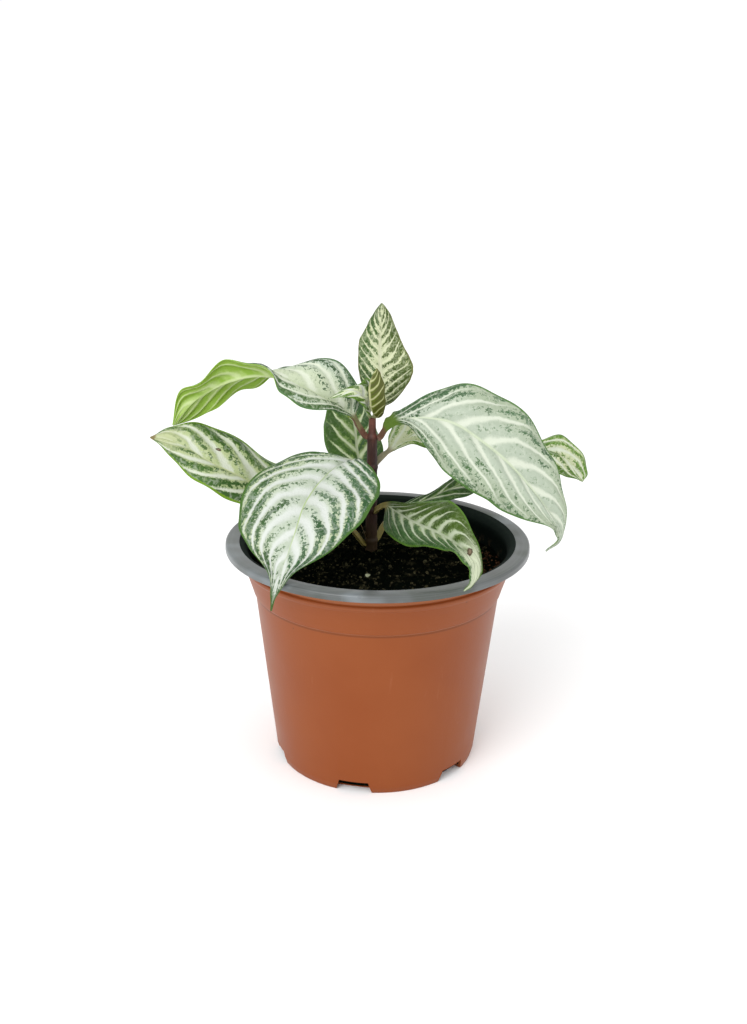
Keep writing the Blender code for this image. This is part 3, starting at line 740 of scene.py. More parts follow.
def makeSoil():
    rings, steps = soil["rings"], soil["steps"]
    edge = soil["edge"] + soil["overlap"]
    points = [(0.0, 0.0, soilHeight(0.0, 0.0))]
    for ring in range(1, rings + 1):
        for x, y, _ in ringPoints(edge * ring / rings, 0.0, steps):
            points.append((x, y, soilHeight(x, y)))
    topCount = len(points)
    for radius, z in soil["sides"]:
        points += ringPoints(radius, z, steps)
    bottom = len(points)
    points.append((0.0, 0.0, soil["sides"][-1][1]))
    faces = [(0, 1 + step, 1 + (step + 1) % steps) for step in range(steps)]
    bands = rings + len(soil["sides"]) - 1
    for band in range(bands):
        faces += bandFaces(1 + band * steps, 1 + (band + 1) * steps, steps)
    last = 1 + bands * steps
    faces += [(bottom, last + (step + 1) % steps, last + step) for step in range(steps)]
    mound = pieceFrom("soilMound", points, faces, [soilMaterial("soilDark", 0.45)])
    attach(mound, "root")
    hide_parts("soil")

    # the crumbs lie on the mound's top only, clear of the wall
    topFaces = [face for face in faces if max(face) < topCount - 2 * steps]
    surface = bpy.data.meshes.new("soilSurface")
    topPoints = [[value * mm for value in point] for point in points[:topCount]]
    surface.from_pydata(topPoints, [], topFaces)
    smallest, largest = soil["crumbSizes"]
    crumbs = {
        "Density": soil["crumbsPerSquareMetre"],
        "Smallest": smallest * mm * 0.5,
        "Largest": largest * mm * 0.5,
        "Length": 1.0,
        "Seed": soil["seed"],
    }
    scatterOver(surface, "soilCrumbs", soilMaterial("soilCrumb", 1.0), False, crumbs)
    smallest, largest = soil["fibreSizes"]
    fibres = {
        "Density": soil["fibresPerSquareMetre"],
        "Smallest": smallest * mm,
        "Largest": largest * mm,
        "Length": soil["fibreLength"],
        "Seed": soil["seed"] + 4,
    }
    scatterOver(surface, "soilFibres", soilMaterial("soilFibre", 1.5), True, fibres)


print("making the soil")
makeSoil()


# The stem: one upright shoot with a slight ring at each pair of leaves.
stem = {
    "x": -2.5,
    "y": 8.0,
    "bottomZ": 77.0,
    "topZ": 137.9,
    "tipRise": 0.4,
    "radius": 2.35,
    "shootRadius": 1.45,
    "leafNodesZ": (87.0, 100.2, 117.8, 130.1),
    "ringHeight": 0.32,
    "ringReach": 0.9,
    "creaseDepth": 0.16,
    "creaseReach": 0.3,
    "creaseLift": 1.5,
    "sides": 40,
    "rowGap": 0.45,
    "young": (0.125, 0.042, 0.030),
    "old": (0.036, 0.015, 0.012),
    "youngZ": (129.0, 135.0),
    "streak": (0.13, 0.06, 0.035),
    "scar": (0.030, 0.016, 0.011),
    "foot": (0.060, 0.042, 0.018),
    "footZ": (100.0, 86.0),
    "scrapColour": (0.36, 0.25, 0.10),
    "scrapDark": (0.16, 0.10, 0.04),
    "scrapRows": ((88.0, -0.6), (90.5, 0.4), (92.5, 1.3), (94.5, 2.1)),  # height and lean
    "scrapWidth": 2.4,
    "scrapThickness": 0.3,
}


def stemMaterial():
    material, tree, shader = newMaterial("stemBark", 0.5, 0.25)
    place = objectPlace(tree)
    height = partsOf(tree, place)[2]
    stretched = addNode(tree, "ShaderNodeMapping", {"Vector": place, "Scale": (1.0, 1.0, 0.14)})
    streaks = noiseAt(tree, stretched.outputs[0], 1300.0, 4.0, 0.6)
    blotches = noiseAt(tree, place, 260.0, 3.0)
    low, high = (z * mm for z in stem["youngZ"])
    age = ramp(tree, plus(tree, height, times(tree, blotches, 0.004)), low, high)
    base = blendColour(tree, age, stem["old"], stem["young"])
    base = blendColour(tree, ramp(tree, streaks, 0.5, 0.7, 0.0, 0.4), base, stem["streak"])
    base = blendColour(tree, ramp(tree, blotches, 0.55, 0.40, 0.0, 0.45), base, stem["scar"])
    low, high = (z * mm for z in stem["footZ"])
    base = blendColour(tree, ramp(tree, height, low, high, 0.0, 0.6), base, stem["foot"])
    setColour(tree, shader, base)
    addBump(tree, shader, streaks, 0.35, 0.2)
    return material


def scrapMaterial():
    material, tree, shader = newMaterial("driedSheath", 0.7, 0.2)
    fibres = noiseAt(tree, objectPlace(tree), 900.0, 3.0, 0.6)
    pale = ramp(tree, fibres, 0.35, 0.65)
    setColour(tree, shader, blendColour(tree, pale, stem["scrapDark"], stem["scrapColour"]))
    addBump(tree, shader, fibres, 0.3, 0.3)
    return material


def stemRadius(z):
    nodes, shootZ = stem["leafNodesZ"], stem["leafNodesZ"][-1]
    heights = (80.0, shootZ - 1.0, shootZ + 2.5, 138.0)
    radius, shoot = stem["radius"], stem["shootRadius"]
    widths = (radius, radius - 0.4, shoot, shoot - 0.1)
    lift, creaseReach = stem["creaseLift"], stem["creaseReach"]
    rings = sum(math.exp(-(((z - node) / stem["ringReach"]) ** 2)) for node in nodes)
    creases = sum(math.exp(-(((z - node - lift) / creaseReach) ** 2)) for node in nodes)
    swelling = stem["ringHeight"] * rings - stem["creaseDepth"] * creases
    return float(np.interp(z, heights, widths)) + swelling


def addScrap(points, faces):
    # a papery scrap of leaf sheath that still stands beside the stem
    first, rows = len(points), stem["scrapRows"]
    for row, (z, lean) in enumerate(rows):
        x = stem["x"] - stem["radius"] - lean
        for side in (-1.0, 1.0):
            across = side * stem["scrapWidth"] * (0.5 - 0.09 * row)
            for depth in (0.0, stem["scrapThickness"]):
                points.append((x, stem["y"] - 1.2 + across + depth, z))
    for row in range(len(rows) - 1):
        a = first + 4 * row
        for low, high in ((0, 1), (1, 3), (3, 2), (2, 0)):
            faces.append((a + high, a + low, a + 4 + low, a + 4 + high))
    last = first + 4 * (len(rows) - 1)
    faces.append((first, first + 1, first + 3, first + 2))
    faces.append((last, last + 2, last + 3, last + 1))


def makeStem():
    sides = stem["sides"]
    levels = np.arange(stem["bottomZ"], stem["topZ"], stem["rowGap"])
    points = []
    for z in levels:
        for side in range(sides):
            angle = 2.0 * math.pi * side / sides
            cos, sin = math.cos(angle), math.sin(angle)
            uneven = noise.noise(Vector((cos * 1.4, sin * 1.4, z * 0.13)))
            ridges = 0.04 * math.sin(4.0 * angle + 0.4)
            radius = stemRadius(z) * (1.0 + 0.05 * uneven + ridges)
            points.append((stem["x"] + radius * cos, stem["y"] + radius * sin, z))
    faces = [tuple(reversed(range(sides)))]
    for level in range(len(levels) - 1):
        for side in range(sides):
            after, low = (side + 1) % sides, level * sides
            faces.append((low + side, low + after, low + sides + after, low + sides + side))
    top = (len(levels) - 1) * sides
    points.append((stem["x"], stem["y"], stem["topZ"] + stem["tipRise"]))
    faces += [(top + side, top + (side + 1) % sides, len(points) - 1) for side in range(sides)]
    barkFaces = len(faces)
    addScrap(points, faces)
    piece = pieceFrom("stemPiece", points, faces, [stemMaterial(), scrapMaterial()])
    for face in list(piece.data.polygons)[barkFaces:]:
        face.material_index = 1
    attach(piece, "root")
    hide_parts("stem")


print("making the stem")
makeStem()


# The leaves' shapes, one entry for each. A blade's stations are left margin, midrib and right
# margin from base to tip, as seen on the upper face with the tip pointing away.
leafShapes = {
    "leaf_upper_right": {
        "petiole": [(0.6, 7.0, 130.5), (2.8, 4.6, 134.6)],
        "blade": [
            [(5.8, 3, 139.9), (7, 2, 138.6), (8.2, 1.6, 136.9)],
            [(10.4, 3, 144), (11.3, -1, 140.3), (12.7, -2.4, 136)],
            [(20.3, 4, 149), (19.5, -4, 141), (19.5, -9, 128.5)],
            [(31.5, 3, 153), (28.5, -8, 140), (26, -16, 122)],
            [(45, 1, 149.5), (38, -11, 134.5), (36.5, -20, 116)],
            [(56.5, -2, 142), (47.5, -14, 127.5), (45, -22, 111)],
            [(65, -7, 129), (56, -16, 119), (54.5, -22, 106.5)],
            [(69.7, -12, 118), (63.5, -18, 110), (62.4, -21, 104.5)],
            [(71.4, -15, 107.5), (68.6, -18, 103), (67, -19, 100.5)],
            [(70.6, -16.5, 98), (69.3, -17.5, 97.2), (68, -18, 96.9)],
            [(64.8, -15.8, 91.7), (64.5, -16, 91.9), (64.2, -16.1, 92.1)],
        ],
        "keel": 1.5,
        "waves": 6.5,
        "waveHeight": 0.9,
    },
    "leaf_upper_left": {
        "petiole": [(-5.3, 7.0, 131.2), (-7.6, 5.4, 135.4)],
        "blade": [
            [(-10.0, 2.4, 138.9), (-9.6, 3.4, 139.5), (-8.8, 4.4, 140.2)],
            [(-14.0, -0.8, 141.2), (-12.8, 2.6, 142.2), (-7.4, 6.6, 143.2)],
            [(-17.2, -3.4, 143), (-16, 1.5, 144.8), (-7.6, 8.4, 148.6)],
            [(-23, -11, 145.5), (-22, 0, 148), (-13.3, 11, 158)],
            [(-31, -13, 148), (-29, -1, 152), (-22.5, 10, 160.5)],
            [(-36.5, -11, 152), (-35.5, 0, 155), (-34, 10, 158)],
            [(-40, -9, 158.5), (-41.5, 1, 156.3), (-41, 11, 153.5)],
            [(-48, -7, 162), (-49.3, 3, 155.5), (-48.5, 14, 148.5)],
            [(-58, -3, 162.3), (-58, 6, 152.5), (-56.3, 15, 145.3)],
            [(-68, 2, 153), (-67, 9, 147.5), (-64.5, 15, 139.5)],
            [(-77, 6, 148), (-74, 10, 142), (-70.5, 14, 136)],
            [(-80.9, 8.7, 134), (-80.7, 9, 133.8), (-80.5, 9.3, 133.6)],
        ],
        "keel": 1.5,
        "waves": 5.5,
        "waveHeight": 0.8,
    },
    "leaf_front_left": {
        "petiole": [(-4.4, 5.7, 118.2), (-6.4, 2.9, 120.4)],
        "blade": [
            [(-7.3, -0.8, 122.4), (-8.7, 0, 122.5), (-10.1, 1, 122.8)],
            [(-5, -9, 125.5), (-15.5, -11, 124), (-21.5, -4, 127)],
            [(0.5, -20, 120.5), (-22.5, -22, 120), (-35.5, -8, 126)],
            [(-0.5, -30, 116.5), (-27, -32, 115), (-49.5, -17, 117.5)],
            [(-7, -39, 110), (-29, -39, 110), (-51.5, -29, 107.5)],
            [(-15.5, -46, 103.5), (-31.5, -45, 103), (-47.5, -38, 101.5)],
            [(-29, -50.5, 96), (-34.5, -50, 95.5), (-39.5, -48, 95.5)],
            [(-35.6, -52.5, 88), (-36.9, -52.5, 87.8), (-38, -52.3, 87.8)],
            [(-37.5, -53, 82.3), (-37.8, -53, 82.2), (-38.1, -53, 82.3)],
        ],
        "keel": 1.5,
        "waves": 5.5,
        "waveHeight": 0.7,
    },
    "leaf_back_right": {
        "petiole": [(-1.4, 10.8, 118.2), (1.6, 13.0, 121.0)],
        "blade": [
            [(3.8, 15.5, 123.8), (4.6, 15, 123), (5.6, 14.6, 122.4)],
            [(4.5, 24, 128), (9.5, 18, 126), (12, 15, 125)],
            [(12, 34, 134.5), (19, 24, 129.5), (20.5, 17, 123.5)],
            [(30, 43, 137), (33.5, 31, 130), (35.5, 22, 120.5)],
            [(49, 47, 130), (48.5, 37, 125.5), (49.5, 27, 116.5)],
            [(66, 50, 118.5), (64, 42, 117.5), (63.5, 33, 112.5)],
            [(79, 51.5, 120), (74.5, 45, 114.5), (73.5, 39, 107.5)],
            [(87.5, 51, 113), (81.5, 47, 110), (79.5, 43, 104)],
            [(91.2, 50, 104.5), (85.5, 48, 104.5), (85, 46, 102)],
            [(89.2, 48, 100.4), (89, 48, 100.2), (88.8, 48, 100)],
        ],
        "keel": 1.5,
        "waves": 6.5,
        "waveHeight": 0.8,
    },
    "leaf_front_right": {
        "petiole": [(-1.1, 5.0, 101.0), (0.7, 2.9, 103.0)],
        "blade": [
            [(3.4, 1.2, 105.6), (3.4, 0.6, 104.3), (2.8, -0.4, 103.2)],
            [(9.5, -3, 107), (8.5, -8, 104), (2.2, -12, 99.3)],
            [(16, -11, 109.5), (14.5, -19, 104), (8.5, -24, 97.5)],
            [(23.5, -21, 114), (21.5, -32, 105), (17, -37, 101)],
            [(29.5, -33, 115), (27.5, -43, 105), (23, -47, 104)],
            [(34.5, -46, 108), (31, -51, 104.5), (27, -53, 104.5)],
            [(36.7, -54, 102), (33.7, -56, 102.3), (30.5, -57, 102)],
            [(35.6, -58, 98.5), (33.6, -59, 98.8), (31.7, -59, 99.2)],
            [(33.3, -59.5, 95.7), (32.4, -60, 96.1), (31.5, -60, 96.6)],
            [(30.1, -60, 93.4), (29.9, -60, 93.6), (29.7, -60, 93.8)],
        ],
        "keel": 1.4,
        "waves": 5.5,
        "waveHeight": 0.7,
    },
    "leaf_back_left": {
        "petiole": [(-3.4, 11.0, 100.6), (-4.0, 13.6, 104.2)],
        "blade": [
            [(-5.2, 16.6, 107), (-4.4, 16.2, 107), (-3.6, 16, 107.2)],
            [(-13.5, 21, 112.5), (-6.5, 20, 113), (-1, 18, 114.5)],
            [(-21, 29, 118), (-8.5, 28, 118), (2, 25, 120)],
            [(-23, 38, 125), (-9.5, 37, 124.5), (0, 34, 124.5)],
            [(-22, 47, 131), (-11, 46, 130), (-3, 43, 130)],
            [(-18, 55, 135.5), (-12.5, 54, 135.5), (-7.5, 52, 135.5)],
            [(-13.5, 60, 140.5), (-13.3, 60, 140.5), (-13.1, 60, 140.5)],
        ],
        "keel": 1.4,
        "waves": 4.5,
        "waveHeight": 0.7,
    },
    "leaf_lower_left": {
        "petiole": [(-5.6, 6.6, 86.6), (-10.4, 4.6, 93.4)],
        "blade": [
            [(-16.2, 2.2, 97.4), (-17, 3, 98.4), (-17.4, 4, 99.6)],
            [(-24.5, -4, 99.5), (-23.5, 2, 102.5), (-21, 8, 108)],
            [(-36.5, -8, 102), (-34.5, 1, 107), (-31.5, 12, 114)],
            [(-48, -12, 106.5), (-45.5, -1, 112), (-41, 12, 117.5)],
            [(-58.5, -13, 111.5), (-55, -3, 117.5), (-52.5, 10, 126.5)],
            [(-68.5, -12, 117), (-65, -4, 123), (-64, 8, 133.5)],
            [(-77, -9, 123.5), (-74, -3, 128.5), (-74, 5, 136)],
            [(-83, -4, 128.5), (-81.5, -2, 131), (-81.5, 2, 134.5)],
            [(-88.1, -1, 131.4), (-87.9, -1, 131.6), (-87.7, -1, 131.8)],
        ],
        "keel": 1.4,
        "waves": 5.5,
        "waveHeight": 0.7,
    },
    "leaf_low_right": {
        "petiole": [(0.3, 10.3, 87.8), (2.8, 13.4, 91.6)],
        "blade": [
            [(6.8, 18.2, 96.2), (7.2, 18, 95.2), (7.8, 17.8, 94.2)],
            [(13.4, 26, 98.4), (13.4, 24, 96.4), (15.4, 22, 94.6)],
            [(21.2, 34, 98.6), (21, 30, 97.6), (24.4, 26, 95.6)],
            [(29.7, 43, 100.8), (30.5, 37, 99.8), (35.5, 31, 98.2)],
            [(39.5, 52, 104.5), (40.5, 44, 101.7), (45, 37, 99.4)],
            [(50, 57, 105), (50.5, 50, 101.7), (53.5, 44, 98.6)],
            [(60.2, 54.2, 99.8), (60.2, 54, 99.7), (60.2, 53.8, 99.6)],
        ],
        "keel": 1.3,
        "waves": 4.5,
        "waveHeight": 0.5,
    },
    "leaf_top": {
        "petiole": [(-2.0, 9.3, 138.2)],
        "stalk": 1.3,
        "blade": [
            [(-1.8, 10.2, 141), (-0.6, 10.3, 141), (0.7, 10.2, 141)],
            [(-4.3, 12.6, 145.5), (0.8, 12.6, 145), (6.6, 11.6, 144.3)],
            [(-7.5, 15, 151.5), (0.7, 14.4, 151.5), (12.3, 11.6, 152.6)],
            [(-8.4, 18, 158.5), (0.2, 17, 158), (13, 13, 158)],
            [(-8, 21, 165.5), (0.2, 20, 165), (8.7, 17, 166)],
            [(-5, 23, 171.5), (0.5, 22, 171.3), (6, 20, 172)],
            [(-2.3, 24, 176.4), (0.8, 23, 176.2), (3.6, 22, 177)],
            [(0.5, 23, 180.2), (0.8, 23, 180.1), (1.1, 23, 180)],
        ],
        "keel": 1.1,
        "waves": 5.5,
        "waveHeight": 0.4,
    },
    "leaf_young_left": {
        "petiole": [(-3.2, 7.4, 138.2)],
        "stalk": 1.3,
        "blade": [
            [(-3.2, 4.8, 139), (-3.3, 5.6, 139.8), (-3.1, 6.6, 140.6)],
            [(-4.6, 2, 141.4), (-4.6, 3.2, 143.7), (-1.6, 6.4, 149.5)],
            [(-6.2, 0, 144.5), (-6.4, 1, 148), (-4.4, 4, 154.5)],
            [(-8.8, -2, 147.2), (-9.6, -1, 150.5), (-7.7, 1, 152.8)],
            [(-12.5, -3.4, 148.6), (-12.7, -2.6, 150.4), (-12.2, -1, 151.8)],
            [(-18.5, -5, 148.4), (-18.6, -5, 148.6), (-18.5, -5, 148.8)],
        ],
        "keel": 0.9,
        "waves": 3.5,
        "waveHeight": 0.2,
    },
    "leaf_young_folded": {
        "petiole": [(-1.3, 7.3, 138.2)],
        "stalk": 1.3,
        "blade": [
            [(0.8, 4.4, 139.2), (-0.2, 5.0, 139.4), (0.8, 6.0, 139.4)],
            [(2.2, -0.6, 142.8), (-1.8, 1.2, 143.4), (2, 4, 142.4)],
            [(2.4, -3, 148), (-2.6, -1, 148.2), (2, 3, 147.4)],
            [(2, -3, 153), (-3, -2, 152.3), (1.6, 2, 152.2)],
            [(0.6, -2.6, 157.2), (-2.2, -2, 156.1), (0.4, 0.6, 156.9)],
            [(-0.7, -2.3, 159.3), (-1, -2, 159.4), (-0.7, -1.7, 159.3)],
        ],
        "keel": 0.9,
        "waves": 3.5,
        "waveHeight": 0.2,
    },
}

# How each leaf is marked. Veins are counted in pairs, and sweep and bend lean them to the tip.
# Keys with a capital go to the zebra pattern, where start, gain and stripe say what turns green.
cream = (0.557, 0.600, 0.479)
greenStalk = (0.250, 0.205, 0.058)
paleStalk = (0.260, 0.268, 0.134)
leafLooks = {
    "leaf_upper_right": {
        "veins": 7.5, "sweep": 0.20, "bend": 0.16, "offset": 0.45, "wing": 1.35,
        "vein": (0.530, 0.570, 0.470), "between": (0.350, 0.404, 0.318),
        "betweenFar": (0.300, 0.358, 0.250), "marginColour": (0.069, 0.152, 0.035),
        "greenLeft": (0.038, 0.106, 0.035), "greenRight": (0.046, 0.113, 0.034),
        "ribColour": (0.470, 0.530, 0.390), "stalkColour": (0.132, 0.068, 0.044),
        "stalkEnd": (0.085, 0.150, 0.016),
        "Stripe": 0.9, "Start": 1.1, "Gain": 1.25, "Softness": 0.08,
        "Patches": 2.2, "Speckle": 3.6, "Blots": 1.2, "mottle": 1.0,
        "Right shift": 0.03, "Base green": 0.55,
        "Vein at rib": 0.34, "Vein at margin": 0.12, "Vein reach": 0.72,
        "Margin": 0.035, "Rib": 0.040, "Seed": 0.013,
        "greenTip": (1.0, 1.10),
    },
    "leaf_upper_left": {
        "veins": 7.0, "sweep": 0.20, "bend": 0.14, "offset": 0.45, "under": "lime",
        "vein": cream, "between": (0.430, 0.485, 0.339),
        "betweenFar": (0.374, 0.444, 0.357), "marginColour": (0.062, 0.135, 0.048),
        "greenLeft": (0.036, 0.092, 0.018), "greenRight": (0.040, 0.097, 0.037),
        "ribColour": (0.440, 0.500, 0.340), "stalkColour": (0.152, 0.072, 0.047),
        "stalkEnd": (0.210, 0.190, 0.085),
        "Stripe": 0.9, "Start": 0.7, "Gain": 1.2, "Softness": 0.08,
        "Patches": 1.6, "Speckle": 3.0, "Blots": 1.0,
        "Right shift": 0.22, "Base green": 0.3,
        "Vein at rib": 0.30, "Vein at margin": 0.18,
        "Margin": 0.05, "Rib": 0.04, "Seed": 0.151,
    },
    "leaf_front_left": {
        "veins": 9.0, "sweep": 0.16, "bend": 0.24, "offset": 0.4,
        "vein": (0.530, 0.560, 0.520), "between": (0.395, 0.450, 0.358),
        "betweenFar": (0.345, 0.405, 0.245), "marginColour": (0.045, 0.114, 0.015),
        "greenLeft": (0.029, 0.088, 0.028), "greenRight": (0.038, 0.096, 0.025),
        "ribColour": (0.350, 0.440, 0.220), "stalkColour": greenStalk,
        "Stripe": 1.35, "Start": 0.63, "Gain": 1.35, "Softness": 0.07,
        "Patches": 1.3, "Speckle": 3.8, "Blots": 1.2,
        "Wobble": 0.6, "Right shift": 0.12,
        "Vein at rib": 0.46, "Vein at margin": 0.22,
        "Margin": 0.045, "Rib": 0.014, "Seed": 0.304,
        "greenTip": (0.90, 1.00),
    },
    "leaf_back_right": {
        "veins": 6.5, "sweep": 0.18, "bend": 0.14, "offset": 0.4,
        "vein": cream, "between": (0.500, 0.540, 0.343),
        "betweenFar": (0.380, 0.450, 0.211), "marginColour": (0.071, 0.154, 0.016),
        "greenLeft": (0.080, 0.185, 0.010), "greenRight": (0.075, 0.175, 0.008),
        "ribColour": (0.397, 0.463, 0.298), "stalkColour": (0.240, 0.216, 0.136),
        "Stripe": 1.2, "Start": 0.5, "Gain": 1.0, "Softness": 0.08,
        "Patches": 1.9, "Speckle": 2.8, "Blots": 1.2,
        "Base green": -0.45,
        "Vein at rib": 0.34, "Vein at margin": 0.16,
        "Margin": 0.06, "Rib": 0.03, "Seed": 0.417,
    },
    "leaf_front_right": {
        "veins": 10.0, "sweep": 0.17, "bend": 0.17, "offset": 0.5,
        "vein": (0.410, 0.460, 0.330), "between": (0.210, 0.280, 0.130),
        "betweenFar": (0.100, 0.155, 0.030), "marginColour": (0.060, 0.138, 0.011),
        "greenLeft": (0.040, 0.080, 0.003), "greenRight": (0.024, 0.080, 0.012),
        "ribColour": (0.420, 0.470, 0.340), "stalkColour": greenStalk,
        "Stripe": 1.1, "Start": 0.24, "Gain": 1.5, "Softness": 0.12,
        "Patches": 0.9, "Speckle": 2.3, "Blots": 0.9, "mottle": 0.5, "net": 0.1,
        "Vein at rib": 0.36, "Vein at margin": 0.08, "Vein reach": 0.66,
        "Margin": 0.06, "Rib": 0.07, "Seed": 0.533,
        "greenTip": (0.99, 1.06),
        "paleTip": ((0.489, 0.529, 0.384), 0.70, 0.84),
        "spots": [((0.788, 0.42, 0.0), (58.0, 9.5, 0.0))],
    },
    "leaf_back_left": {
        "veins": 6.5, "sweep": 0.20, "bend": 0.12, "offset": 0.5,
        "vein": (0.470, 0.530, 0.340), "between": (0.150, 0.235, 0.060),
        "betweenFar": (0.112, 0.195, 0.033), "marginColour": (0.049, 0.122, 0.013),
        "greenLeft": (0.031, 0.090, 0.002), "greenRight": (0.026, 0.080, 0.016),
        "ribColour": (0.437, 0.489, 0.331), "stalkColour": greenStalk,
        "Stripe": 1.1, "Start": 0.28, "Gain": 1.2, "Softness": 0.16,
        "Patches": 1.0, "Speckle": 1.6, "Blots": 0.8, "mottle": 0.6, "net": 0.1,
        "Vein at rib": 0.3, "Vein at margin": 0.14, "Vein reach": 0.66,
        "Margin": 0.05, "Rib": 0.06, "Seed": 0.644,
    },
    "leaf_lower_left": {
        "veins": 6.0, "sweep": 0.20, "bend": 0.12, "offset": 0.5,
        "vein": (0.529, 0.562, 0.463), "between": (0.362, 0.422, 0.212),
        "betweenFar": (0.265, 0.345, 0.150), "marginColour": (0.115, 0.218, 0.006),
        "greenLeft": (0.034, 0.097, 0.011), "greenRight": (0.042, 0.105, 0.014),
        "ribColour": (0.410, 0.450, 0.251), "stalkColour": greenStalk,
        "Stripe": 1.3, "Start": 0.48, "Gain": 1.2, "Softness": 0.08,
        "Patches": 1.0, "Speckle": 2.8, "Blots": 1.4, "mottle": 0.8,
        "Right shift": 0.18,
        "Vein at rib": 0.34, "Vein at margin": 0.22,
        "Margin": 0.06, "Rib": 0.03, "Seed": 0.752,
        "brownTip": 0.965,
        "paleTip": ((0.397, 0.437, 0.238), 0.80, 0.92),
        "spots": [((0.655, 0.69, 0.0), (70.0, 60.0, 0.0))],
    },
    "leaf_low_right": {
        "veins": 5.5, "sweep": 0.18, "bend": 0.12, "offset": 0.5,
        "vein": (0.489, 0.529, 0.397), "between": (0.160, 0.250, 0.075),
        "betweenFar": (0.117, 0.228, 0.055), "marginColour": (0.034, 0.089, 0.014),
        "greenLeft": (0.024, 0.071, 0.007), "greenRight": (0.024, 0.071, 0.007),
        "ribColour": (0.397, 0.450, 0.298), "stalkColour": greenStalk,
        "Stripe": 1.0, "Start": 0.1, "Gain": 1.2, "Softness": 0.16,
        "Patches": 0.8, "Speckle": 0.7, "net": 0.12,
        "Vein at rib": 0.22, "Vein at margin": 0.14,
        "Margin": 0.05, "Rib": 0.06, "Seed": 0.866,
    },
    "leaf_top": {
        "veins": 11.0, "sweep": 0.18, "bend": 0.06, "offset": 0.3,
        "vein": (0.550, 0.580, 0.390), "between": (0.500, 0.540, 0.340),
        "betweenFar": (0.350, 0.395, 0.194), "marginColour": (0.113, 0.123, 0.032),
        "greenLeft": (0.034, 0.088, 0.012), "greenRight": (0.050, 0.084, 0.010),
        "ribColour": (0.540, 0.560, 0.400), "stalkColour": paleStalk,
        "Stripe": 1.2, "Start": 0.27, "Gain": 1.1, "Softness": 0.08,
        "Patches": 0.9, "Speckle": 3.2, "Blots": 1.0, "mottle": 0.8, "net": 0.35,
        "Wobble": 0.75,
        "Vein at rib": 0.26, "Vein at margin": 0.12,
        "Margin": 0.04, "Rib": 0.095, "Seed": 0.931,
    },
    "leaf_young_left": {
        "veins": 4.5, "sweep": 0.2, "bend": 0.1, "offset": 0.3,
        "vein": (0.542, 0.582, 0.503), "between": (0.545, 0.605, 0.380),
        "betweenFar": (0.430, 0.510, 0.230), "marginColour": (0.093, 0.194, 0.020),
        "greenLeft": (0.088, 0.181, 0.012), "greenRight": (0.076, 0.160, 0.012),
        "ribColour": (0.555, 0.582, 0.489), "stalkColour": (0.283, 0.298, 0.149),
        "Stripe": 0.7, "Start": 0.4, "Gain": 1.6, "Softness": 0.14,
        "Patches": 0.7, "Speckle": 1.0,
        "Vein at rib": 0.3, "Vein at margin": 0.2,
        "Margin": 0.08, "Rib": 0.1, "Seed": 0.078,
    },
    "leaf_young_folded": {
        "veins": 6.5, "sweep": 0.2, "bend": 0.05, "offset": 0.4, "under": "olive",
        "vein": (0.410, 0.397, 0.211), "between": (0.208, 0.246, 0.053),
        "betweenFar": (0.164, 0.210, 0.023), "marginColour": (0.144, 0.091, 0.028),
        "greenLeft": (0.070, 0.085, 0.008), "greenRight": (0.075, 0.080, 0.008),
        "ribColour": (0.437, 0.437, 0.251), "stalkColour": paleStalk,
        "Stripe": 1.2, "Start": 0.1, "Gain": 1.0, "Softness": 0.2,
        "Patches": 0.5, "Speckle": 1.0,
        "Vein at rib": 0.20, "Vein at margin": 0.12,
        "Margin": 0.05, "Rib": 0.08, "Seed": 0.222,
    },
}
# what all leaves share
leafFinish = {
    "ringsPerStation": 14,
    "columns": 44,
    "columnPower": 1.25,
    "stalkWidth": 2.5,
    "insideStem": 1.2,
    "insideDrop": 0.8,
    "marginThickness": 0.22,
    "bladeThickness": 0.42,
    "quiltHeight": 0.80,
    "scallop": 0.010,
    "grooveDepth": 0.40,
    "grooveReach": 0.7,
    "keelReach": 0.95,
    "normalPasses": 12,
    "sharpAngle": 58.0,
    "roughness": 0.42,
    "mottle": 0.7,
    "net": 0.28,
    "deepGreen": (0.010, 0.032, 0.006),
    "spotRim": (0.060, 0.042, 0.020),
    "spotCore": (0.170, 0.125, 0.080),
    "brownTip": (0.20, 0.165, 0.070),
}


def smoothStep(value, low, high):
    share = np.clip((value - low) / (high - low), 0.0, 1.0)
    return share * share * (3.0 - 2.0 * share)


def curveThrough(points, steps):
    points = np.array(points, float)
    padded = np.vstack([2.0 * points[0] - points[1], points, 2.0 * points[-1] - points[-2]])
    result = []
    for index in range(len(points) - 1):
        a, b, c, d = padded[index : index + 4]
        for step in range(steps):
            t = step / steps
            square = (2.0 * a - 5.0 * b + 4.0 * c - d) * t**2
            cubic = (3.0 * b - a - 3.0 * c + d) * t**3
            result.append(0.5 * (2.0 * b + (c - a) * t + square + cubic))
    result.append(points[-1])
    return np.array(result)


def unitOf(vector):
    return vector / max(np.linalg.norm(vector), 1e-9)


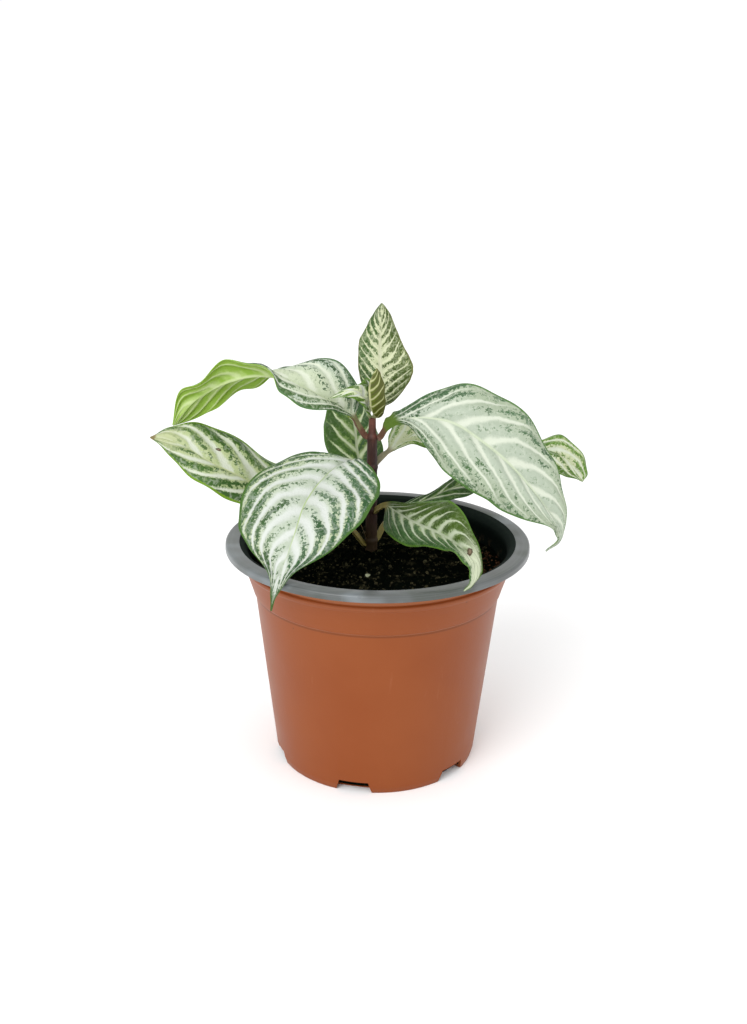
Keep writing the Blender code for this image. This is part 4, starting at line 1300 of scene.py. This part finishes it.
def leafCurves(shape):
    # margins and midrib with the stalk in front, started a little inside the stem
    left, rib, right = (np.array(line, float) for line in zip(*shape["blade"]))
    first = np.array(shape["petiole"][0], float)
    axis = np.array((stem["x"], stem["y"], first[2]))
    inward = unitOf(axis - first) * leafFinish["insideStem"]
    start = first + inward - (0.0, 0.0, leafFinish["insideDrop"])
    stalk = np.vstack([start, np.array(shape["petiole"], float)])
    course = np.vstack([stalk, rib[0]])
    half = shape.get("stalk", leafFinish["stalkWidth"]) / 2.0
    for index in range(len(stalk) - 1, -1, -1):
        tangent = unitOf(course[index + 1] - course[index])
        across = right[0] - left[0]
        side = unitOf(across - tangent * np.dot(across, tangent)) * half
        left = np.vstack([stalk[index] - side, left])
        right = np.vstack([stalk[index] + side, right])
        rib = np.vstack([stalk[index], rib])
    steps = leafFinish["ringsPerStation"]
    return [curveThrough(line, steps) for line in (left, rib, right)], len(stalk) * steps


def leafMeasures(shape):
    # the guide curves, with each ring's width and its place along by ring and by length
    (left, rib, right), stalkRings = leafCurves(shape)
    lengths = np.concatenate([[0.0], np.cumsum(np.linalg.norm(np.diff(rib, axis=0), axis=1))])
    fromBase = lengths - lengths[stalkRings]
    return {
        "left": left,
        "rib": rib,
        "right": right,
        "tangents": np.gradient(rib, axis=0),
        "widths": np.linalg.norm(right - left, axis=1),
        "byRing": (np.arange(len(rib)) - stalkRings) / (len(rib) - 1 - stalkRings),
        "byLength": fromBase / fromBase[-1],
    }


def leafColumns():
    even = np.linspace(-1.0, 1.0, leafFinish["columns"] + 1)
    return np.sign(even) * np.abs(even) ** leafFinish["columnPower"]


def leafFaces(rings, columns):
    # the faces of both sides and round the edge, and for each whether it is on the upper side
    faces, uppers = [], []
    under = rings * columns
    for ring in range(rings - 1):
        for column in range(columns - 1):
            a = ring * columns + column
            b, c, d = a + 1, a + columns + 1, a + columns
            faces.append((a, b, c, d))
            uppers.append(True)
            faces.append((under + a, under + d, under + c, under + b))
            uppers.append(False)
    for ring in range(rings - 1):
        a = ring * columns
        d = a + columns
        faces.append((a, d, under + d, under + a))
        b = a + columns - 1
        c = b + columns
        faces.append((b, under + b, under + c, c))
    for a in range(columns - 1):
        faces.append((a, under + a, under + a + 1, a + 1))
        d = (rings - 1) * columns + a
        faces.append((d, d + 1, under + d + 1, under + d))
    uppers += [False] * (len(faces) - len(uppers))
    return faces, uppers


def wingReach(look, byLength):
    # a small crinkled green wing where the stalk meets the blade
    reach = smoothStep(byLength, -0.085, -0.06) * (1.0 - smoothStep(byLength, 0.0, 0.04))
    crinkle = 1.0 + 0.22 * math.sin(125.0 * byLength)
    return look["wing"] * reach * crinkle


def halfRing(shape, look, measures, ring, side, part):
    # one half of a ring's upper face, from the midrib out, and the veins' phase on it
    along = max(0.0, measures["byRing"][ring])
    byLength, width, rib = (measures[label][ring] for label in ("byLength", "widths", "rib"))
    margin = measures["right" if side else "left"][ring]
    acrossWay = unitOf(measures["right"][ring] - measures["left"][ring])
    normal = unitOf(np.cross(acrossWay, unitOf(measures["tangents"][ring])))
    fade = math.sin(math.pi * along) ** 0.5 if 0.0 < along < 1.0 else 0.0
    blade = smoothStep(measures["byRing"][ring], 0.0, 0.1)
    veins, shift = look["veins"], side * look["offset"]

    # the margin has a shallow lobe at each vein, and waves up and down
    atMargin = veins * (byLength - look["sweep"] - look["bend"]) + shift
    lobes = 0.5 + 0.5 * np.cos(2.0 * math.pi * atMargin)
    spread = 1.0 - leafFinish["scallop"] * fade * blade * lobes * part**3
    place = rib + (margin - rib) * part * spread
    if side == 0 and "wing" in look:
        place = place + unitOf(margin - rib) * part * wingReach(look, byLength)
    turn = 2.0 * math.pi * shape["waves"] * along + (2.1 if side else 0.4)
    wave = shape["waveHeight"] * fade * part**2 * math.sin(turn)

    # the blade arches, bulges between the veins and dips along the midrib
    arch = 0.09 * width * part * (1.0 - part) * 2.0 * fade
    lean = look["sweep"] * part + look["bend"] * part**2
    phase = veins * (byLength - lean) + shift
    bulge = 0.5 - 0.5 * np.cos(2.0 * math.pi * phase)
    room = np.clip(part / 0.2, 0.0, 1.0) * np.clip((1.0 - part) / 0.15, 0.0, 1.0)
    quilt = leafFinish["quiltHeight"] * bulge * room * blade * min(1.0, width / 14.0)
    away = part * width / 2.0
    dip = np.exp(-((away / leafFinish["grooveReach"]) ** 2))
    groove = leafFinish["grooveDepth"] * dip * blade * (1.0 - along)
    return place + normal * (arch + wave + quilt - groove), phase


def upperSurface(shape, look, measures, across):
    share = np.abs(across)
    rings = len(measures["rib"])
    upper = np.zeros((rings, len(across), 3))
    phases = np.zeros((rings, len(across), 2))
    for ring in range(rings):
        for side, chosen in enumerate((across < 0.0, across >= 0.0)):
            part = share[chosen][:, None]
            place, phase = halfRing(shape, look, measures, ring, side, part)
            upper[ring, chosen] = place
            phases[ring, chosen, side] = phase[:, 0]
    # the midrib's column belongs to both halves, so it has the left half's phase too
    middle = np.argmin(share)
    phases[:, middle, 0] = phases[:, middle, 1] - look["offset"]
    return upper, phases


def smoothedNormals(surface):
    normals = np.cross(np.gradient(surface, axis=1), np.gradient(surface, axis=0))
    for _ in range(leafFinish["normalPasses"]):
        normals /= np.maximum(np.linalg.norm(normals, axis=2, keepdims=True), 1e-9)
        padded = np.concatenate([normals[:1], normals, normals[-1:]])
        normals = padded[:-2] + 2.0 * padded[1:-1] + padded[2:]
        padded = np.concatenate([normals[:, :1], normals, normals[:, -1:]], axis=1)
        normals = padded[:, :-2] + 2.0 * padded[:, 1:-1] + padded[:, 2:]
    return normals / np.maximum(np.linalg.norm(normals, axis=2, keepdims=True), 1e-9)


def lowerSurface(shape, measures, upper, share, stalkShare):
    # the upper face moved down by the blade's thickness and keel, or by a round stalk
    normals = smoothedNormals(upper)
    thin, thick = leafFinish["marginThickness"], leafFinish["bladeThickness"]
    edge = thin + (thick - thin) * np.clip((1.0 - share) / 0.12, 0.0, 1.0)
    lower = np.zeros_like(upper)
    for ring, width in enumerate(measures["widths"]):
        along = max(0.0, measures["byRing"][ring])
        narrow = min(1.0, width / leafFinish["stalkWidth"])
        keel = shape["keel"] * (1.0 - 0.75 * along) * narrow
        away = share * width / 2.0
        ridge = keel * np.exp(-((away / leafFinish["keelReach"]) ** 2))
        blade = edge * min(1.0, 0.3 + width / 6.0) + ridge
        stalk = 0.15 + 0.62 * width * np.sqrt(np.clip(1.0 - share**2, 0.0, 1.0))
        thickness = blade + (stalk - blade) * stalkShare[ring]
        lower[ring] = upper[ring] - normals[ring] * thickness[:, None]
    return lower


def writeLeafMaps(mesh, byLength, across, phases, stalkShare):
    # leafMap runs along and across; veinMap holds vein phase and distance from the midrib
    rings, columns = len(byLength), len(across)
    corners = np.zeros(len(mesh.loops), np.int32)
    mesh.loops.foreach_get("vertex_index", corners)
    columnOf, ringOf = corners % columns, (corners // columns) % rings
    # a corner on the midrib takes the phase of the half in which its face lies
    sizes = [len(face.vertices) for face in mesh.polygons]
    faceOf = np.repeat(np.arange(len(sizes)), sizes)
    middleOfFace = np.zeros(len(sizes))
    np.add.at(middleOfFace, faceOf, across[columnOf])
    sideOf = (middleOfFace[faceOf] > 0.0).astype(int)
    flat = np.column_stack([byLength[ringOf], 0.5 + 0.5 * across[columnOf]])
    veins = np.column_stack([phases[ringOf, columnOf, sideOf], np.abs(across)[columnOf]])
    for label, values in (("leafMap", flat), ("veinMap", veins)):
        layer = mesh.uv_layers.new(name=label)
        layer.data.foreach_set("uv", values.astype(np.float32).ravel())
    layer = mesh.attributes.new("stalkShare", "FLOAT", "POINT")
    perPoint = np.tile(np.repeat(stalkShare, columns), 2)
    layer.data.foreach_set("value", perPoint.astype(np.float32))


def makeLeaf(node, shape, look, materials):
    measures, across = leafMeasures(shape), leafColumns()
    upper, phases = upperSurface(shape, look, measures, across)
    stalkShare = 1.0 - smoothStep(measures["byRing"], -0.02, 0.05)
    lower = lowerSurface(shape, measures, upper, np.abs(across), stalkShare)
    faces, uppers = leafFaces(len(upper), len(across))
    points = [*upper.reshape(-1, 3), *lower.reshape(-1, 3)]
    piece = pieceFrom("piece_" + node, points, faces, materials)
    mesh = piece.data
    mesh.polygons.foreach_set("material_index", np.where(uppers, 0, 1).astype(np.int32))
    writeLeafMaps(mesh, measures["byLength"], across, phases, stalkShare)
    mesh.set_sharp_from_angle(angle=math.radians(leafFinish["sharpAngle"]))
    mesh.update()
    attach(piece, "root")
    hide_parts(node)


def leafPlaces(tree):
    # the places that the pattern asks for, and how far each point belongs to the stalk
    places = {
        "Leaf place": addNode(tree, "ShaderNodeUVMap", uv_map="leafMap").outputs[0],
        "Vein place": addNode(tree, "ShaderNodeUVMap", uv_map="veinMap").outputs[0],
        "Object place": objectPlace(tree),
    }
    stalk = addNode(tree, "ShaderNodeAttribute", attribute_name="stalkShare").outputs["Fac"]
    return places, stalk


def paleColours(tree, look, marks, outward):
    # veins over the paler ground between them, which is mottled with green
    far = ramp(tree, outward, 0.25, 0.9)
    between = blendColour(tree, far, look["between"], look["betweenFar"])
    shade = blendColour(tree, 0.5, between, look["greenRight"])
    mottle = times(tree, marks["Mottle"], look.get("mottle", leafFinish["mottle"]))
    between = blendColour(tree, mottle, between, shade)
    return blendColour(tree, marks["Vein"], between, look["vein"])


def greenColours(tree, look, marks, across):
    # the islands' green, with lighter flecks and deeper patches
    half = ramp(tree, across, 0.42, 0.58)
    green = blendColour(tree, half, look["greenLeft"], look["greenRight"])
    light = blendColour(tree, 0.30, green, look["between"])
    flecks = plus(tree, marks["Speck"], times(tree, marks["Tone"], 0.35))
    green = blendColour(tree, ramp(tree, flecks, 0.68, 0.86), green, light)
    deep = times(tree, ramp(tree, marks["Tone"], 0.55, 0.38), 0.35)
    return blendColour(tree, deep, green, leafFinish["deepGreen"])


def addTips(tree, base, look, marks, places, outward):
    # the pale, green or withered tip and the withered spots, where the leaf has them
    along = partsOf(tree, places["Leaf place"])[0]
    if "paleTip" in look:
        colour, begins, ends = look["paleTip"]
        inner = ramp(tree, minus(tree, outward, times(tree, marks["Speck"], 0.5)), 0.6, 0.3)
        pale = times(tree, ramp(tree, along, begins, ends), inner)
        base = blendColour(tree, times(tree, pale, 0.8), base, colour)
    if "greenTip" in look:
        uneven = plus(tree, along, fromHalf(tree, marks["Speck"], 0.12))
        reach = plus(tree, uneven, times(tree, outward, 0.06))
        base = blendColour(tree, ramp(tree, reach, *look["greenTip"]), base, look["marginColour"])
    spotPlaces = {label: places[label] for label in ("Leaf place", "Object place")}
    for centre, stretch in look.get("spots", []):
        spot = useGroup(tree, spotGroup, {**spotPlaces, "Centre": centre, "Stretch": stretch})
        base = blendColour(tree, spot["Spot"], base, leafFinish["spotRim"])
        base = blendColour(tree, spot["Core"], base, leafFinish["spotCore"])
    if "brownTip" in look:
        withered = ramp(tree, along, look["brownTip"], look["brownTip"] + 0.015)
        base = blendColour(tree, withered, base, leafFinish["brownTip"])
    return base


def leafMaterial(node, look):
    material, tree, shader = newMaterial("upper_" + node, leafFinish["roughness"], 0.24)
    places, stalk = leafPlaces(tree)
    values = {label: look[label] for label in zebraDefaults if label in look}
    marks = useGroup(tree, zebraGroup, {**places, **values})
    along, across, _ = partsOf(tree, places["Leaf place"])
    outward = partsOf(tree, places["Vein place"])[1]
    base = paleColours(tree, look, marks, outward)
    base = blendColour(tree, marks["Green"], base, greenColours(tree, look, marks, across))
    netted = times(tree, marks["Net"], look.get("net", leafFinish["net"]))
    base = blendColour(tree, netted, base, look["vein"])
    base = blendColour(tree, marks["Margin"], base, look["marginColour"])
    base = blendColour(tree, marks["Rib"], base, look["ribColour"])
    base = addTips(tree, base, look, marks, places, outward)
    bark = look["stalkColour"]
    if "stalkEnd" in look:
        bark = blendColour(tree, ramp(tree, along, -0.09, -0.06), bark, look["stalkEnd"])
    setColour(tree, shader, blendColour(tree, stalk, base, bark))
    setGloss(tree, shader, marks["Tone"], 0.36, 0.50)
    addBump(tree, shader, marks["Height"], 0.40, 0.5)
    return material


undersides = {
    "plain": {
        "colour": (0.288, 0.376, 0.216),
        "far": (0.208, 0.304, 0.128),
        "vein": (0.456, 0.517, 0.342),
        "veinWidth": 0.20,
    },
    "lime": {
        "colour": (0.34, 0.47, 0.13),
        "far": (0.22, 0.37, 0.035),
        "vein": (0.50, 0.60, 0.29),
        "veinWidth": 0.22,
    },
    "olive": {
        "colour": (0.090, 0.120, 0.008),
        "far": (0.062, 0.070, 0.009),
        "vein": (0.480, 0.480, 0.250),
        "veinWidth": 0.22,
    },
}
undersideMarks = {
    "Start": 0.3,
    "Gain": 0.9,
    "Patches": 0.6,
    "Speckle": 0.3,
    "Softness": 0.35,
    "Margin": 0.03,
    "Rib": 0.07,
}


def undersideMaterial(look):
    kind = look.get("under", "plain")
    below = undersides[kind]
    material, tree, shader = newMaterial("underside_" + kind, 0.5, 0.3)
    places, stalk = leafPlaces(tree)
    veinWidth = below["veinWidth"]
    veins = {"Vein at rib": veinWidth, "Vein at margin": veinWidth * 0.6, "Seed": look["Seed"]}
    marks = useGroup(tree, zebraGroup, {**places, **undersideMarks, **veins})
    base = blendColour(tree, marks["Green"], below["colour"], below["far"])
    base = blendColour(tree, times(tree, marks["Vein"], 0.75), base, below["vein"])
    base = blendColour(tree, marks["Rib"], base, below["vein"])
    base = blendColour(tree, times(tree, marks["Margin"], 0.6), base, below["far"])
    setColour(tree, shader, blendColour(tree, stalk, base, look["stalkColour"]))
    addBump(tree, shader, times(tree, marks["Height"], -1.0), 0.35, 0.3)
    return material


print("making the leaves")
for leafNode, leafShape in leafShapes.items():
    leafLook = leafLooks[leafNode]
    leafSides = [leafMaterial(leafNode, leafLook), undersideMaterial(leafLook)]
    makeLeaf(leafNode, leafShape, leafLook, leafSides)
    print("  " + leafNode)


# The floor and the light: a plain pale floor under an even white surround. Metres here.
studio = {
    "floorReach": 40.0,
    "floorColour": (0.965, 0.965, 0.965),
    "floorPale": (0.975, 0.975, 0.98),
    "surround": 0.95,
    "backdrop": 1.02,
    "sunStrength": 0.9,
    "sunAngle": 40.0,
    "sunPlace": (-0.45, -0.85, 0.85),
    "aim": (0.0, 0.0, 0.09),
    # name, power, place and size
    "softboxes": (
        ("keySoftbox", 4.5, (-0.5, -0.8, 0.75), 0.7),
        ("fillSoftbox", 1.5, (0.9, -0.5, 0.6), 0.9),
    ),
}


def makeFloor():
    material, tree, shader = newMaterial("paleFloor", 0.8, 0.2)
    cloud = noiseAt(tree, objectPlace(tree), 6.0, 2.0)
    setColour(tree, shader, blendColour(tree, cloud, studio["floorColour"], studio["floorPale"]))
    reach = studio["floorReach"]
    corners = [(-reach, -reach, 0), (reach, -reach, 0), (reach, reach, 0), (-reach, reach, 0)]
    mesh = bpy.data.meshes.new("floor")
    mesh.from_pydata(corners, [], [(0, 1, 2, 3)])
    mesh.materials.append(material)
    floor = objectFor("floor", mesh)


def makeWorld():
    # the surround looks white from the camera and lights the plant a little less than that
    world = bpy.data.worlds.new("whiteSurround")
    world.use_nodes = True
    tree = world.node_tree
    background = tree.nodes["Background"].inputs
    background["Color"].default_value = (1.0, 1.0, 1.0, 1.0)
    seen = addNode(tree, "ShaderNodeLightPath").outputs["Is Camera Ray"]
    strength = ramp(tree, seen, 0.0, 1.0, studio["surround"], studio["backdrop"], "LINEAR")
    tree.links.new(strength, background["Strength"])
    bpy.context.scene.world = world


def addLamp(name, kind, place, direction, **settings):
    lamp = bpy.data.lights.new(name, kind)
    for key, value in settings.items():
        setattr(lamp, key, value)
    holder = objectFor(name, lamp)
    holder.location = place
    holder.rotation_euler = direction.to_track_quat("-Z", "Y").to_euler()


def makeLight():
    makeWorld()
    away, spread = -Vector(studio["sunPlace"]), math.radians(studio["sunAngle"])
    strength = studio["sunStrength"]
    addLamp("softSun", "SUN", (0.0, 0.0, 0.0), away, energy=strength, angle=spread)
    for name, power, place, size in studio["softboxes"]:
        aim = Vector(studio["aim"]) - Vector(place)
        addLamp(name, "AREA", place, aim, energy=power, size=size, shape="SQUARE")
    bpy.context.scene.view_settings.view_transform = "Standard"


cameraSetup = {
    "place": (-1.724, -428.395, 248.141),
    "pitch": 0.32935,
    "roll": 0.0097748,
    "focalPixels": 1150.0,
    "imageHeight": 1024.0,
    "sensor": 36.0,
}


def makeCamera():
    sensor = cameraSetup["sensor"]
    data = bpy.data.cameras.new("photoCamera")
    data.sensor_fit = "AUTO"
    data.sensor_width = sensor
    data.lens = cameraSetup["focalPixels"] / cameraSetup["imageHeight"] * sensor
    data.clip_start = 0.01
    camera = objectFor("photoCamera", data)
    pitch, roll = cameraSetup["pitch"], cameraSetup["roll"]
    ahead = Vector((0.0, math.cos(pitch), -math.sin(pitch)))
    above = Vector((0.0, math.sin(pitch), math.cos(pitch)))
    sideways = Vector((1.0, 0.0, 0.0))
    right = math.cos(roll) * sideways + math.sin(roll) * above
    up = -math.sin(roll) * sideways + math.cos(roll) * above
    turn = Matrix((right, up, -ahead)).transposed().to_4x4()
    camera.matrix_world = Matrix.Translation(Vector(cameraSetup["place"]) * mm) @ turn
    bpy.context.scene.camera = camera


print("setting the floor, the light and the camera")
makeFloor()
makeLight()
makeCamera()
